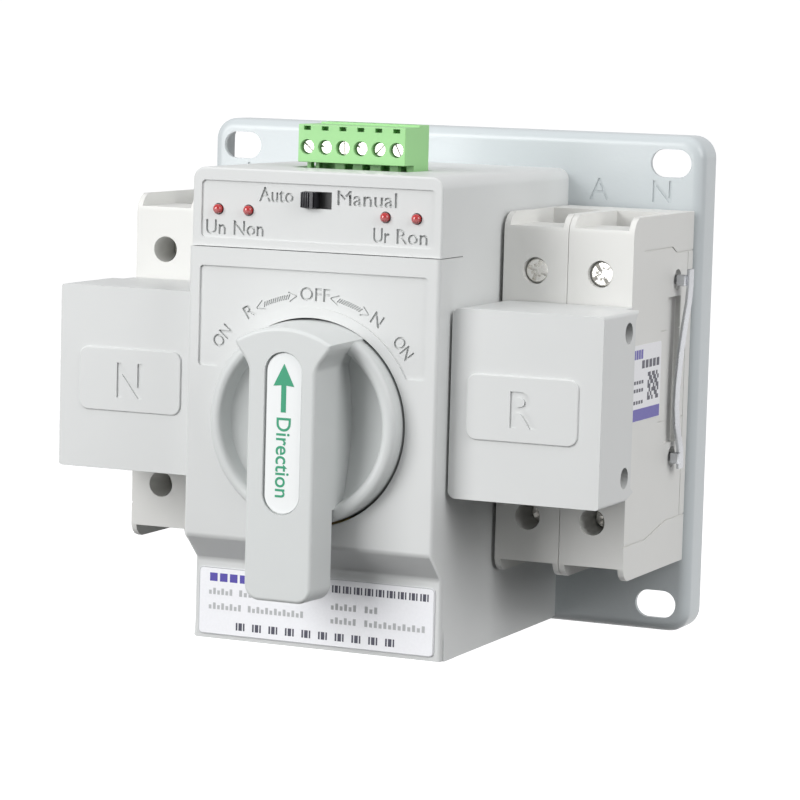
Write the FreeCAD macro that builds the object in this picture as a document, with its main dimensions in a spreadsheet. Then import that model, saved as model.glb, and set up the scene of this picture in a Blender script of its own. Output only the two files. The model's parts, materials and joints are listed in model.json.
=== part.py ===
import FreeCAD, Part
import math
import os
import Sketcher

# Two-source changeover switch on a folded base plate: a central mechanism housing with a turn handle,
# and a two-pole miniature breaker under a linkage cover on each side.
# Millimetres. +Z is up, +X to the right, and the front faces -Y.
# The origin is the centre of the plate's rear rim, the plane of the panel that it is screwed to.

DIMENSIONS = {
    # Folded base plate.
    "plate_width": 147, "plate_height": 135, "plate_depth": 10.5, "plate_gauge": 1.5,
    "plate_corner": 6, "plate_bend": 3,
    "slot_pitch_x": 128.5, "slot_pitch_z": 120, "slot_radius": 3.75, "slot_length": 11.5,
    # Mechanism housing and its front cover (y is negative towards the front).
    "housing_half": 35, "housing_top": 57.5, "housing_base": -66.1, "housing_front": -97.8,
    "housing_wall": 2, "housing_corner": 4.5, "seam_z": 37.2,
    "panel_half": 32.6, "panel_low": 39.6, "panel_high": 54.2, "relief": 0.4,
    "cover_half": 35.2, "cover_front": -98.8, "cover_rear": -83.7, "cover_wall": 2.2,
    "cover_break": -38.2, "label_face": -91.6, "label_high": -45,
    "dial_half": 32.1, "dial_high": 32.3, "dial_low": 6.3, "dial_ring": 29.2, "dial_hole": 27.9,
    "nameplate_left": -33.8, "nameplate_right": 33.4, "nameplate_low": -65, "nameplate_high": -47.2,
    "nameplate_gauge": 0.4,
    # Lamps and selector in the upper panel.
    "lamp_z": 46.8, "lamp_radius": 1.5, "lamp_outer": 27.8, "lamp_inner": 19.2,
    "window_left": -4.1, "window_right": 4.5, "window_low": 48, "window_high": 52.6,
    "selector_width": 4,
    # Control plug on the housing's top.
    "plug_pitch": 5.08, "plug_half": 15.24, "plug_front": -77, "plug_rear": -61.6,
    "plug_low": 58.9, "plug_high": 69.3, "plug_screw_z": 62.9, "plug_screw_radius": 1.85,
    # Turn handle.
    "shaft_z": -6.4, "knob_radius": 26.8, "knob_crest": -103.4, "knob_crest_radius": 24.4,
    "knob_floor_radius": 21.9, "knob_floor": -99.8, "dish_radius": 11, "dish_floor": -95.8,
    "knob_rear": -90, "handle_front": -115.5, "lever_half": 9.35, "lever_rear": -105.2,
    "lever_foot": -50.5, "lever_head_half": 13.4, "lever_head_radius": 25.5, "lever_neck_z": 8,
    "lever_wing_z": 15.2, "insert_half": 4.95, "insert_high": 12.2, "insert_low": -28.7,
    "insert_gauge": 0.6, "insert_pocket": 1.2,
    # Shaft, gears and frame inside the housing.
    "shaft_radius": 4, "running_fit": 0.05, "frame_front": -60, "frame_gauge": 1.5, "frame_half": 30,
    "frame_low": -52, "frame_high": 26, "gear_module": 1.25, "gear_teeth": 32, "pinion_teeth": 10,
    "gear_front": -73, "gear_width": 5, "pinion_front": -74,
    # Breaker poles.
    "pole_pitch": 18, "pole_half": 8.9, "pole_first": 45, "pole_wall": 1.5, "pole_rear": -12,
    "pole_shoulder": -58.9, "pole_low": -46.9, "pole_high": 47.6, "nose_front": -72,
    "nose_low": -22.2, "nose_high": 22.8, "end_step": 3.4, "entry_front": -39.5,
    "entry_rear": -23.5, "entry_depth": 11.6, "terminal_top_z": 32.7, "terminal_foot_z": -31.7,
    "driver_radius": 3.5, "rivet_hole": 2.8, "rivet_front_y": -60.5, "rivet_front_z": 18.3,
    "rivet_rear_y": -23.9, "rivet_rear_high": 29.9, "rivet_rear_low": -17.5,
    # Breaker toggles and the slides that drive them.
    "toggle_y": -62, "toggle_reach": 18, "toggle_drum": 7.5, "toggle_pin": 1.5,
    "toggle_rest": -25, "tie_reach": 15.5,
    # Linkage covers over the toggles.
    "linkage_inner": 35.9, "linkage_outer": 76.66, "linkage_front": -91.6, "linkage_rear": -59.2,
    "linkage_low": -23.8, "linkage_high": 24.6, "linkage_wall": 2, "linkage_side_rear": -70.2,
    "badge_inner": 40.5, "badge_outer": 70.6, "badge_low": -8.3, "badge_high": 8.5,
    "badge_relief": 0.5,
}

doc = FreeCAD.newDocument("changeover_switch")
sheet = doc.addObject("Spreadsheet::Sheet", "Dims")
for row, (alias, number) in enumerate(DIMENSIONS.items(), start=1):
    sheet.set(f"A{row}", str(number))
    sheet.setAlias(f"A{row}", alias)
doc.recompute()


class Size:
    """A length from the sheet: its present value, and the expression that binds it to the cells."""

    def __init__(self, value, text):
        self.value = value
        self.text = text

    def _with(self, other, sign, swap=False):
        other = as_size(other)
        left, right = (other, self) if swap else (self, other)
        results = {"+": left.value + right.value, "-": left.value - right.value,
                   "*": left.value * right.value}
        value = left.value / right.value if sign == "/" else results[sign]
        return Size(value, f"({left.text} {sign} {right.text})")

    def __add__(self, other):
        return self._with(other, "+")

    def __radd__(self, other):
        return self._with(other, "+", swap=True)

    def __sub__(self, other):
        return self._with(other, "-")

    def __rsub__(self, other):
        return self._with(other, "-", swap=True)

    def __mul__(self, other):
        return self._with(other, "*")

    def __rmul__(self, other):
        return self._with(other, "*", swap=True)

    def __truediv__(self, other):
        return self._with(other, "/")

    def __neg__(self):
        return Size(-self.value, f"(-1 * {self.text})")


def as_size(number):
    return number if isinstance(number, Size) else Size(float(number), f"({float(number):.6f})")


class Cells:
    """Reads a dimension by its alias, as in D.plate_width."""

    def __getattr__(self, alias):
        return Size(float(sheet.get(alias)), f"Dims.{alias}")


D = Cells()
AXIS_TURN = {
    "x": FreeCAD.Rotation(FreeCAD.Vector(0, 1, 0), 90),
    "y": FreeCAD.Rotation(FreeCAD.Vector(1, 0, 0), -90),
    "z": FreeCAD.Rotation(),
}
# The sign that turns a coordinate into a distance along each plane's own normal.
PLANE_SIGN = {"XY_Plane": 1, "XZ_Plane": -1, "YZ_Plane": 1}
pieces = []


def bind(feature, prop, number):
    number = as_size(number)
    feature.setExpression(prop, number.text)


def centred(width):
    return (-1 * (width / 2), width / 2)


def around(centre, half):
    return (centre - half, centre + half)


def along(edge, axis):
    """True for a straight edge that runs along one axis."""
    if len(edge.Vertexes) < 2:
        return False
    spans = {"x": edge.BoundBox.XLength, "y": edge.BoundBox.YLength, "z": edge.BoundBox.ZLength}
    others = [spans[name] for name in "xyz" if name != axis]
    return max(others) < 1e-4 < spans[axis]


class Piece:
    """One physical piece: a PartDesign body whose features are bound to the sheet."""

    def __init__(self, label, at=(0, 0, 0), turn=None):
        self.body = doc.addObject("PartDesign::Body", label)
        self.body.Label = label
        self.body.Placement = FreeCAD.Placement(FreeCAD.Vector(), turn or FreeCAD.Rotation())
        for name, number in zip("xyz", at):
            bind(self.body, f"Placement.Base.{name}", number)
        pieces.append(self.body)

    def _solid(self, kind, cut):
        return self.body.newObject(f"PartDesign::{'Subtractive' if cut else 'Additive'}{kind}", kind)

    def box(self, x, y, z, cut=False):
        feature = self._solid("Box", cut)
        for prop, name, (low, high) in zip(("Length", "Width", "Height"), "xyz", (x, y, z)):
            bind(feature, prop, as_size(high) - low)
            bind(feature, f"Placement.Base.{name}", low)

    def rod(self, axis, centre, radius, span, cut=False):
        """A cylinder along one axis; centre holds the two other coordinates in x, y, z order."""
        feature = self._solid("Cylinder", cut)
        feature.Placement = FreeCAD.Placement(FreeCAD.Vector(), AXIS_TURN[axis])
        bind(feature, "Radius", radius)
        bind(feature, "Height", as_size(span[1]) - span[0])
        rest = iter(centre)
        for name in "xyz":
            bind(feature, f"Placement.Base.{name}", span[0] if name == axis else next(rest))

    def ball(self, centre, radius):
        feature = self._solid("Sphere", False)
        bind(feature, "Radius", radius)
        for name, number in zip("xyz", centre):
            bind(feature, f"Placement.Base.{name}", number)

    def slot(self, centre, length, radius, span, cut=True, upright=False):
        """A stadium through y; it runs along x, or along z when upright."""
        reach = length / 2 - radius
        across, up = centre
        if upright:
            self.box(around(across, radius), span, around(up, reach), cut)
            ends = [(across, up - reach), (across, up + reach)]
        else:
            self.box(around(across, reach), span, around(up, radius), cut)
            ends = [(across - reach, up), (across + reach, up)]
        for end in ends:
            self.rod("y", end, radius, span, cut)

    def _plane(self, role):
        return [item for item in self.body.Origin.OriginFeatures if item.Role == role][0]

    def sketch(self, role, corners, offset=0):
        """A closed outline, anticlockwise. A corner's third value bows the side that leaves it."""
        sketch = self.body.newObject("Sketcher::SketchObject", "Outline")
        sketch.AttachmentSupport = (self._plane(role), [""])
        sketch.MapMode = "FlatFace"
        bind(sketch, "AttachmentOffset.Base.z", PLANE_SIGN[role] * as_size(offset))
        places = [FreeCAD.Vector(as_size(c[0]).value, as_size(c[1]).value, 0) for c in corners]
        count = len(corners)
        starts = []
        for index, corner in enumerate(corners):
            start, end = places[index], places[(index + 1) % count]
            if len(corner) == 2:
                sketch.addGeometry(Part.LineSegment(start, end))
                starts.append((index, 1, 2))
                continue
            radius = as_size(corner[2])
            chord = end - start
            side = FreeCAD.Vector(chord.y, -chord.x, 0).normalize()
            bow = abs(radius.value) - math.sqrt(radius.value ** 2 - (chord.Length / 2) ** 2)
            middle = (start + end) / 2 + side * math.copysign(bow, radius.value)
            sketch.addGeometry(Part.Arc(start, middle, end))
            starts.append((index, 1, 2) if radius.value > 0 else (index, 2, 1))
            rule = sketch.addConstraint(Sketcher.Constraint("Radius", index, abs(radius.value)))
            bind(sketch, f"Constraints[{rule}]", radius if radius.value > 0 else -radius)
        for index in range(count):
            follower = starts[(index + 1) % count]
            sketch.addConstraint(Sketcher.Constraint(
                "Coincident", index, starts[index][2], follower[0], follower[1]))
        for (index, first, _), corner in zip(starts, corners):
            for kind, number in (("DistanceX", corner[0]), ("DistanceY", corner[1])):
                number = as_size(number)
                rule = sketch.addConstraint(
                    Sketcher.Constraint(kind, -1, 1, index, first, number.value))
                bind(sketch, f"Constraints[{rule}]", number)
        return sketch

    def prism(self, role, corners, span, cut=False):
        """An outline drawn on an origin plane and carried over a span of the third axis."""
        low, high = as_size(span[0]), as_size(span[1])
        sketch = self.sketch(role, corners, high if PLANE_SIGN[role] < 0 else low)
        kind = "Pocket" if cut else "Pad"
        feature = self.body.newObject(f"PartDesign::{kind}", kind)
        feature.Profile = sketch
        feature.Reversed = cut
        bind(feature, "Length", high - low)
        return feature

    def spin(self, corners):
        """A revolution about the body's own y axis; each corner is (y, radius)."""
        feature = self.body.newObject("PartDesign::Revolution", "Revolution")
        feature.Profile = self.sketch("YZ_Plane", corners)
        feature.ReferenceAxis = (self._plane("Y_Axis"), [""])
        feature.Angle = 360

    def repeat(self, feature, count):
        """A polar pattern of one feature about the body's own y axis."""
        pattern = self.body.newObject("PartDesign::PolarPattern", "PolarPattern")
        pattern.Originals = [feature]
        pattern.Axis = (self._plane("Y_Axis"), [""])
        pattern.Angle = 360
        bind(pattern, "Occurrences", count)
        self.body.Tip = pattern

    def round(self, radius, chosen):
        """A fillet on the edges of the piece so far that pass the test."""
        doc.recompute()
        base = self.body.Tip
        names = [f"Edge{number}" for number, edge in enumerate(base.Shape.Edges, start=1)
                 if chosen(edge)]
        fillet = self.body.newObject("PartDesign::Fillet", "Fillet")
        fillet.Base = (base, names)
        bind(fillet, "Radius", radius)


SIDES = (("normal", -1), ("reserve", 1))
POLES = (0, 1)
plate_face = -D.plate_depth


def pole_x(side, pole):
    return side * (D.pole_first + pole * D.pole_pitch)


def mirrored(side, low, high):
    """A span given outward from the middle, on the left or the right side."""
    return (low, high) if side > 0 else (-as_size(high), -as_size(low))


def rounded_outline(half_x, half_z, radius):
    """A rectangle about the origin with quarter-round corners, anticlockwise from the lower right."""
    in_x, in_z = half_x - radius, half_z - radius
    return [(half_x, -in_z), (half_x, in_z, radius), (in_x, half_z), (-in_x, half_z, radius),
            (-half_x, in_z), (-half_x, -in_z, radius), (-in_x, -half_z), (in_x, -half_z, radius)]


# ---------------------------------------------------------------- base plate
HOUSING_SCREWS = [(across, up) for across in (-26, 26) for up in (49, -57)]
SCREW_RADIUS = 1.5
SCREW_HOLE = 1.7


def breaker_screw_places(side):
    """One screw up and one down, each through the foot of a different pole."""
    return [(pole_x(side, 0), 42), (pole_x(side, 1), -41.5)]


def base_plate():
    plate = Piece("base_plate")
    plate.box(centred(D.plate_width), (plate_face, 0), centred(D.plate_height))
    plate.round(D.plate_corner, lambda edge: along(edge, "y"))
    plate.round(D.plate_bend, lambda edge: edge.BoundBox.YMax < plate_face.value + 0.01)
    rim = [D.plate_width / 2 - D.plate_gauge, D.plate_height / 2 - D.plate_gauge]
    plate.prism("XZ_Plane", rounded_outline(*rim, D.plate_corner - D.plate_gauge),
                (plate_face + D.plate_gauge, 0), cut=True)
    through = (plate_face - 1, plate_face + D.plate_gauge + 1)
    for across in (-1, 1):
        for up in (-1, 1):
            centre = (across * D.slot_pitch_x / 2, up * D.slot_pitch_z / 2)
            plate.slot(centre, D.slot_length, D.slot_radius, through)
    screws = HOUSING_SCREWS + breaker_screw_places(-1) + breaker_screw_places(1)
    for place in screws:
        plate.rod("y", place, SCREW_HOLE, through, cut=True)


def pan_screw(piece, place, y_head, y_tip, head_radius=2.8, head_height=1.6):
    """A screw driven from behind: head at the back, thread towards the front."""
    piece.rod("y", place, head_radius, (y_head, y_head + head_height))
    piece.rod("y", place, SCREW_RADIUS, (y_tip, y_head))


def rear_screws():
    seat = plate_face + D.plate_gauge
    housing = Piece("housing_screws")
    for place in HOUSING_SCREWS:
        pan_screw(housing, place, seat, seat - 11)
    for name, side in SIDES:
        breaker = Piece(f"{name}_breaker_screws")
        for place in breaker_screw_places(side):
            pan_screw(breaker, place, seat, seat - 10)


# ---------------------------------------------------------------- central housing
ARM_WINDOW_Y = (-81.3, -71.8)
ARM_WINDOW_Z = (-12, 12)


def mechanism_housing():
    shell = Piece("mechanism_housing")
    sides = (-D.housing_half, D.housing_half)
    shell.box(sides, (D.housing_front, plate_face), (D.seam_z, D.housing_top))
    shell.box(sides, (D.cover_rear, plate_face), (D.housing_base, D.seam_z))
    shell.round(D.housing_corner, lambda edge: along(edge, "y") and edge.CenterOfMass.z > 50)
    inside = (-D.housing_half + D.housing_wall, D.housing_half - D.housing_wall)
    shell.box(inside, (D.housing_front + D.housing_wall, plate_face),
              (D.housing_base + D.housing_wall, D.housing_top - D.housing_wall), cut=True)
    shell.box(inside, (D.cover_rear - 1, plate_face),
              (D.housing_base + D.housing_wall, D.seam_z), cut=True)
    shell.box((-D.panel_half, D.panel_half), (D.housing_front - 1, D.housing_front + D.relief),
              (D.panel_low, D.panel_high), cut=True)
    front_wall = (D.housing_front - 1, D.housing_front + D.housing_wall + 1)
    shell.box((D.window_left, D.window_right), front_wall, (D.window_low, D.window_high), cut=True)
    for across in (-D.lamp_outer, -D.lamp_inner, D.lamp_inner, D.lamp_outer):
        shell.rod("y", (across, D.lamp_z), D.lamp_radius + 0.1, front_wall, cut=True)
    shell.box((-D.plug_half - 0.3, D.plug_half + 0.3), (D.plug_front - 0.3, D.plug_rear + 0.3),
              (D.housing_top - D.housing_wall - 1, D.housing_top + 1), cut=True)
    for name, side in SIDES:
        wall = mirrored(side, D.housing_half - D.housing_wall - 1, D.housing_half + 1)
        shell.box(wall, ARM_WINDOW_Y, ARM_WINDOW_Z, cut=True)
    for across, up in HOUSING_SCREWS:
        rib = (across, 34) if across > 0 else (-34, across)
        shell.box(rib, (-26, plate_face), (up - 1, up + 1))
        shell.rod("y", (across, up), 4, (-26, plate_face))
        shell.rod("y", (across, up), SCREW_RADIUS, (-24, plate_face), cut=True)


def front_cover():
    cover = Piece("front_cover")
    outer = [(D.cover_rear, D.housing_base), (D.cover_rear, D.seam_z - 0.2),
             (D.cover_front, D.seam_z - 0.2), (D.cover_front, D.cover_break),
             (D.label_face, D.label_high), (D.label_face, D.housing_base)]
    cover.prism("YZ_Plane", outer[::-1], (-D.cover_half, D.cover_half))
    cover.round(1.2, lambda edge: along(edge, "z") and edge.CenterOfMass.y < -91)
    gap = D.cover_wall
    inner = [(D.cover_rear + 1, D.housing_base + gap), (D.cover_rear + 1, D.seam_z - 0.2 - gap),
             (D.cover_front + gap, D.seam_z - 0.2 - gap), (D.cover_front + gap, D.cover_break + 1),
             (D.label_face + gap, D.label_high + 1), (D.label_face + gap, D.housing_base + gap)]
    cover.prism("YZ_Plane", inner[::-1], (-D.cover_half + gap, D.cover_half - gap), cut=True)
    recess = (D.cover_front - 1, D.cover_front + D.relief)
    cover.box((-D.dial_half, D.dial_half), recess, (D.dial_low, D.dial_high), cut=True)
    cover.rod("y", (0, D.shaft_z), D.dial_ring, (D.cover_front, D.cover_front + gap))
    cover.rod("y", (0, D.shaft_z), D.dial_hole,
              (D.cover_front - 1, D.cover_front + gap + 1), cut=True)


def nameplate():
    plate = Piece("nameplate")
    plate.box((D.nameplate_left, D.nameplate_right), (D.label_face - D.nameplate_gauge, D.label_face),
              (D.nameplate_low, D.nameplate_high))


# ---------------------------------------------------------------- panel electronics
BOARD_FRONT = -91.8
BOARD_GAUGE = 1.6
CONTROL_BOARD_Z = 44
LAMPS = (("lamp_normal_supply", -1, "lamp_outer"), ("lamp_normal_on", -1, "lamp_inner"),
         ("lamp_reserve_on", 1, "lamp_outer"), ("lamp_reserve_supply", 1, "lamp_inner"))


def panel_electronics():
    lamp_board = Piece("lamp_board")
    lamp_board.box((-31, 31), (BOARD_FRONT, BOARD_FRONT + BOARD_GAUGE), (46, 55))
    control_board = Piece("control_board")
    control_board.box((-31, 31), (-90, -32), (CONTROL_BOARD_Z, CONTROL_BOARD_Z + BOARD_GAUGE))
    for label, side, place in LAMPS:
        centre = (side * getattr(D, place), D.lamp_z)
        lamp = Piece(label)
        lamp.rod("y", centre, D.lamp_radius, (D.housing_front - 0.2, BOARD_FRONT))
        lamp.ball((centre[0], D.housing_front - 0.2, centre[1]), D.lamp_radius)
    body = Piece("selector_body")
    body.box((-6, 6), (D.housing_front + D.housing_wall + 0.1, BOARD_FRONT), (46.4, 54.2))
    track = (D.window_left, D.window_right)
    body.box(track, (D.housing_front + D.housing_wall, BOARD_FRONT - 0.8),
             (D.window_low, D.window_high), cut=True)
    relays = Piece("relays")
    for across in (-20, 0, 20):
        relays.box(around(across, 8), (-56, -36), (CONTROL_BOARD_Z - 15, CONTROL_BOARD_Z))
    capacitor = Piece("capacitor")
    capacitor.rod("z", (22, -77), 5, (CONTROL_BOARD_Z - 12, CONTROL_BOARD_Z))


def selector_knob():
    knob = Piece("selector_knob")
    left = D.window_left + 0.2
    right = left + D.selector_width
    knob.box((left, right), (D.housing_front - 1.4, BOARD_FRONT - 1), (48.25, 52.35))
    for step in range(4):
        rib = left + 0.55 + 0.95 * step
        knob.box((rib, rib + 0.4), (D.housing_front - 2, D.housing_front - 1), (48.25, 52.35))


PLUG_WAYS = [2 * step - 5 for step in range(6)]


def control_plug():
    header = Piece("terminal_header")
    outer = (-D.plug_half, D.plug_half)
    header.box(outer, (D.plug_front, D.plug_rear), (CONTROL_BOARD_Z + BOARD_GAUGE, D.plug_low - 0.3))
    header.box((-D.plug_half + 1, D.plug_half - 1), (D.plug_front + 1, D.plug_rear - 1),
               (48, D.plug_low), cut=True)
    plug = Piece("terminal_plug")
    plug.box(outer, (D.plug_front, D.plug_rear), (D.plug_low, D.plug_high))
    plug.box((-D.plug_half + 1.3, D.plug_half - 1.3), (D.plug_front + 1.3, D.plug_rear - 1.3),
             (50.6, D.plug_low))
    screws = Piece("terminal_plug_screws")
    for way in PLUG_WAYS:
        across = way * D.plug_pitch / 2
        middle = (D.plug_front + D.plug_rear) / 2
        header.rod("z", (across, middle), 0.6, (46, 57))
        plug.rod("z", (across, middle), 0.9, (50, 58), cut=True)
        plug.rod("y", (across, D.plug_screw_z), D.plug_screw_radius + 0.1,
                 (D.plug_front - 1, D.plug_front + 5), cut=True)
        plug.box(around(across, 1.8), (D.plug_rear - 6.6, D.plug_rear - 3),
                 (D.plug_high - 7, D.plug_high + 1), cut=True)
        screws.rod("y", (across, D.plug_screw_z), D.plug_screw_radius,
                   (D.plug_front + 0.8, D.plug_front + 5))
        screws.box(around(across, 0.3), (D.plug_front, D.plug_front + 1.5),
                   around(D.plug_screw_z, 2), cut=True)


# ---------------------------------------------------------------- handle, drawn about its own axis
AT_SHAFT = (0, 0, D.shaft_z)


def rotary_handle():
    handle = Piece("rotary_handle", at=AT_SHAFT)
    skin = 2.4
    handle.spin([
        (D.knob_rear, 0), (D.knob_rear, 8), (D.dish_floor + skin, 8),
        (D.dish_floor + skin, D.dish_radius), (D.knob_floor + skin + 1.5, D.knob_floor_radius),
        (D.knob_rear, D.knob_radius - skin), (D.knob_rear, D.knob_radius),
        (D.knob_crest + 2.2, D.knob_radius), (D.knob_crest, D.knob_crest_radius + 0.6),
        (D.knob_crest, D.knob_crest_radius - 0.6), (D.knob_floor, D.knob_floor_radius),
        (D.dish_floor, D.dish_radius), (D.dish_floor, 0)])
    neck = D.lever_neck_z - D.shaft_z
    wing = D.lever_wing_z - D.shaft_z
    head = [(-D.lever_half, -21), (D.lever_half, -21), (D.lever_half, neck),
            (D.lever_head_half, wing, D.lever_head_radius), (-D.lever_head_half, wing),
            (-D.lever_half, neck)]
    handle.prism("XZ_Plane", head, (D.handle_front, D.dish_floor))
    foot = D.lever_foot - D.shaft_z
    handle.box((-D.lever_half, D.lever_half), (D.handle_front, D.lever_rear), (foot, -20))
    handle.round(4, lambda edge: along(edge, "y") and edge.CenterOfMass.z < foot.value + 1)
    middle = (D.insert_high + D.insert_low) / 2 - D.shaft_z
    handle.slot((0, middle), D.insert_high - D.insert_low, D.insert_half,
                (D.handle_front - 1, D.handle_front + D.insert_pocket), upright=True)
    handle.rod("y", (0, 0), 4, (D.handle_front, -108), cut=True)
    handle.rod("y", (0, 0), 2.2, (-109, -103), cut=True)
    handle.box((-3, 3), (-104, -80), (-3, 3), cut=True)
    insert = Piece("direction_insert", at=AT_SHAFT)
    floor = D.handle_front + D.insert_pocket
    insert.slot((0, middle), D.insert_high - D.insert_low - 0.2, D.insert_half - 0.1,
                (floor - D.insert_gauge, floor), cut=False, upright=True)
    screw = Piece("handle_screw", at=AT_SHAFT)
    screw.rod("y", (0, 0), 3.5, (-110.4, -108))
    screw.rod("y", (0, 0), 2, (-108, -92))
    screw.box((-0.5, 0.5), (-111, -109.2), (-3, 3), cut=True)


# ---------------------------------------------------------------- drive train
GEAR_CLEARANCE = 0.1
pinion_z = D.shaft_z - (D.gear_teeth + D.pinion_teeth) * D.gear_module / 2 - GEAR_CLEARANCE
SHAFT_FRONT = -103.5
SHAFT_REAR = -50


def toothed_wheel(label, at, teeth, front, width, turn=None):
    """A spur wheel whose first tooth points straight up before the turn."""
    wheel = Piece(label, at=at, turn=turn)
    pitch_radius = teeth * D.gear_module / 2
    root = pitch_radius - 1.1 * D.gear_module
    tip = pitch_radius + 0.75 * D.gear_module
    span = (front, front + width)
    wheel.rod("y", (0, 0), root, span)
    tooth = wheel.prism("XZ_Plane", [(-1, root - 0.6), (1, root - 0.6), (0.5, tip), (-0.5, tip)], span)
    wheel.repeat(tooth, teeth)
    return wheel


def drive_train():
    shaft = Piece("drive_shaft", at=AT_SHAFT)
    shaft.rod("y", (0, 0), D.shaft_radius, (-90, SHAFT_REAR))
    shaft.box((-3, 3), (SHAFT_FRONT, -89), (-3, 3))
    shaft.rod("y", (0, 0), 2, (SHAFT_FRONT - 1, -91), cut=True)
    gear = toothed_wheel("drive_gear", AT_SHAFT, D.gear_teeth, D.gear_front, D.gear_width)
    gear.rod("y", (0, 0), D.shaft_radius, (-80, -60), cut=True)
    cam = Piece("cam_disc", at=AT_SHAFT)
    cam.rod("y", (0, 0), 12, (-67, -64.5))
    cam.box((-2, 2), (-67, -64.5), (10, 14.5))
    cam.rod("y", (0, 0), D.shaft_radius, (-80, -60), cut=True)
    half_tooth = FreeCAD.Rotation(FreeCAD.Vector(0, 1, 0), 180 / D.pinion_teeth.value)
    pinion = toothed_wheel("motor_pinion", (0, 0, pinion_z), D.pinion_teeth, D.pinion_front, 7,
                           turn=half_tooth)
    pinion.rod("y", (0, 0), 2.5, (D.pinion_front, -57))
    motor = Piece("gearmotor", at=(0, 0, pinion_z))
    frame_back = D.frame_front + D.frame_gauge
    motor.box((-13, 13), (frame_back, frame_back + 16), (-12, 12))
    motor.rod("y", (0, 0), 11, (frame_back + 16, frame_back + 42))
    motor.rod("y", (0, 0), 2.5 + D.running_fit, (-60, -56), cut=True)
    bush = Piece("shaft_bush", at=AT_SHAFT)
    bush.rod("y", (0, 0), 8, (D.frame_front - 2, D.frame_front))
    bush.rod("y", (0, 0), 6, (D.frame_front, -50))
    bush.rod("y", (0, 0), D.shaft_radius + D.running_fit, (-64, -49), cut=True)
    frame = Piece("mechanism_frame")
    frame.box((-D.frame_half, D.frame_half), (D.frame_front, frame_back), (D.frame_low, D.frame_high))
    for side in (-1, 1):
        flange = mirrored(side, D.frame_half - D.frame_gauge, D.frame_half)
        frame.box(flange, (D.frame_front, plate_face), (D.frame_low, D.frame_high))
        frame.box(flange, (-48, -24), (-38, 12), cut=True)
    frame.rod("y", (0, D.shaft_z), 6, (-61, -57), cut=True)
    frame.rod("y", (0, pinion_z), 4, (-61, -57), cut=True)
    switches = Piece("limit_switches")
    for side in (-1, 1):
        switches.box(mirrored(side, 13.5, 19.5), (-67.5, D.frame_front), (-2, 10))
        switches.box(mirrored(side, 13, 13.5), (-66.5, -64.5), (3, 5))


# ---------------------------------------------------------------- breakers
def pole_case(label, side, pole):
    """One pole of a breaker: a closed case with a nose, and a wire entry at each end."""
    centre = pole_x(side, pole)
    case = Piece(label)
    full = around(centre, D.pole_half)
    inner = around(centre, D.pole_half - D.pole_wall)
    case.box(full, (D.pole_shoulder, D.pole_rear), (D.pole_low, D.pole_high))
    case.box(full, (D.nose_front, D.pole_shoulder), (D.nose_low, D.nose_high))
    feet = around(centre, 7)
    for low, high in ((-46, -36), (36, 46)):
        case.box(feet, (D.pole_rear, plate_face), (low, high))
    for end, sign, terminal in ((D.pole_high, 1, D.terminal_top_z),
                                (D.pole_low, -1, D.terminal_foot_z)):
        step = (end - D.end_step, end + 1) if sign > 0 else (end - 1, end + D.end_step)
        entry = ((end - D.entry_depth, end + 1) if sign > 0 else (end - 1, end + D.entry_depth))
        cage = (terminal - 5.5, end) if sign > 0 else (end, terminal + 5.5)
        case.box(inner, (D.pole_shoulder - 1, D.entry_front), step, cut=True)
        case.box(inner, (D.entry_front, D.entry_rear), entry, cut=True)
        case.box(inner, (D.entry_front, D.entry_rear - 4.2), cage, cut=True)
        case.rod("y", (centre, terminal), D.driver_radius, (D.pole_shoulder - 1, -38), cut=True)
    case.box(inner, (D.nose_front + D.pole_wall, -19), (-20.7, 21.2), cut=True)
    case.box(around(centre, 4), (D.nose_front - 1, D.nose_front + 3), (-9, 9), cut=True)
    case.rod("x", (D.toggle_y, 0), D.toggle_pin, around(centre, 12), cut=True)
    rivets = [(D.rivet_front_y, D.rivet_front_z), (D.rivet_front_y, -D.rivet_front_z),
              (D.rivet_rear_y, D.rivet_rear_high), (D.rivet_rear_y, D.rivet_rear_low)]
    for place in rivets:
        case.rod("x", place, 1.5, around(centre, 12), cut=True)
        if pole == 1:
            face = side * (D.pole_first + D.pole_pitch) + side * D.pole_half
            case.rod("x", place, D.rivet_hole, around(face, 1.2), cut=True)
    for up in [up for place, up in breaker_screw_places(side)][pole:pole + 1]:
        case.rod("y", (centre, up), SCREW_RADIUS, (-20, plate_face + 1), cut=True)


def screw_depth(side, top):
    """How far a terminal screw's head lies behind the shoulder face."""
    return 1.4 if side > 0 and top else 7


def breaker_inside(name, side):
    """What the two cases of one breaker hold."""
    screws = Piece(f"{name}_terminal_screws")
    clamps = Piece(f"{name}_terminal_clamps")
    coils = Piece(f"{name}_trip_coils")
    chutes = Piece(f"{name}_arc_chutes")
    contacts = Piece(f"{name}_contact_arms")
    for pole in POLES:
        centre = pole_x(side, pole)
        for top, height in ((True, D.terminal_top_z), (False, D.terminal_foot_z)):
            head = D.pole_shoulder + screw_depth(side, top)
            screws.rod("y", (centre, height), 3.3, (head, head + 2.4))
            screws.rod("y", (centre, height), 2.4, (head + 2.4, -33))
            screws.box(around(centre, 0.5), (head - 1, head + 1), around(height, 2.6), cut=True)
            screws.box(around(centre, 2.6), (head - 1, head + 1), around(height, 0.5), cut=True)
            clamps.box(around(centre, 6), (-39.2, -28), around(height, 5))
            clamps.box(around(centre, 4.4), (-36.8, -29.8), around(height, 6), cut=True)
            clamps.rod("y", (centre, height), 2.4, (-40, -36), cut=True)
        coils.rod("z", (centre, -28), 5, (-12, 4))
        chutes.box(around(centre, 6.5), (-50, -36), (-19, -8))
        contacts.box(around(centre, 1.5), (-50, -46), (-6, 16))
        contacts.box(around(centre, 3), (-46, -34), (12, 16))


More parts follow.
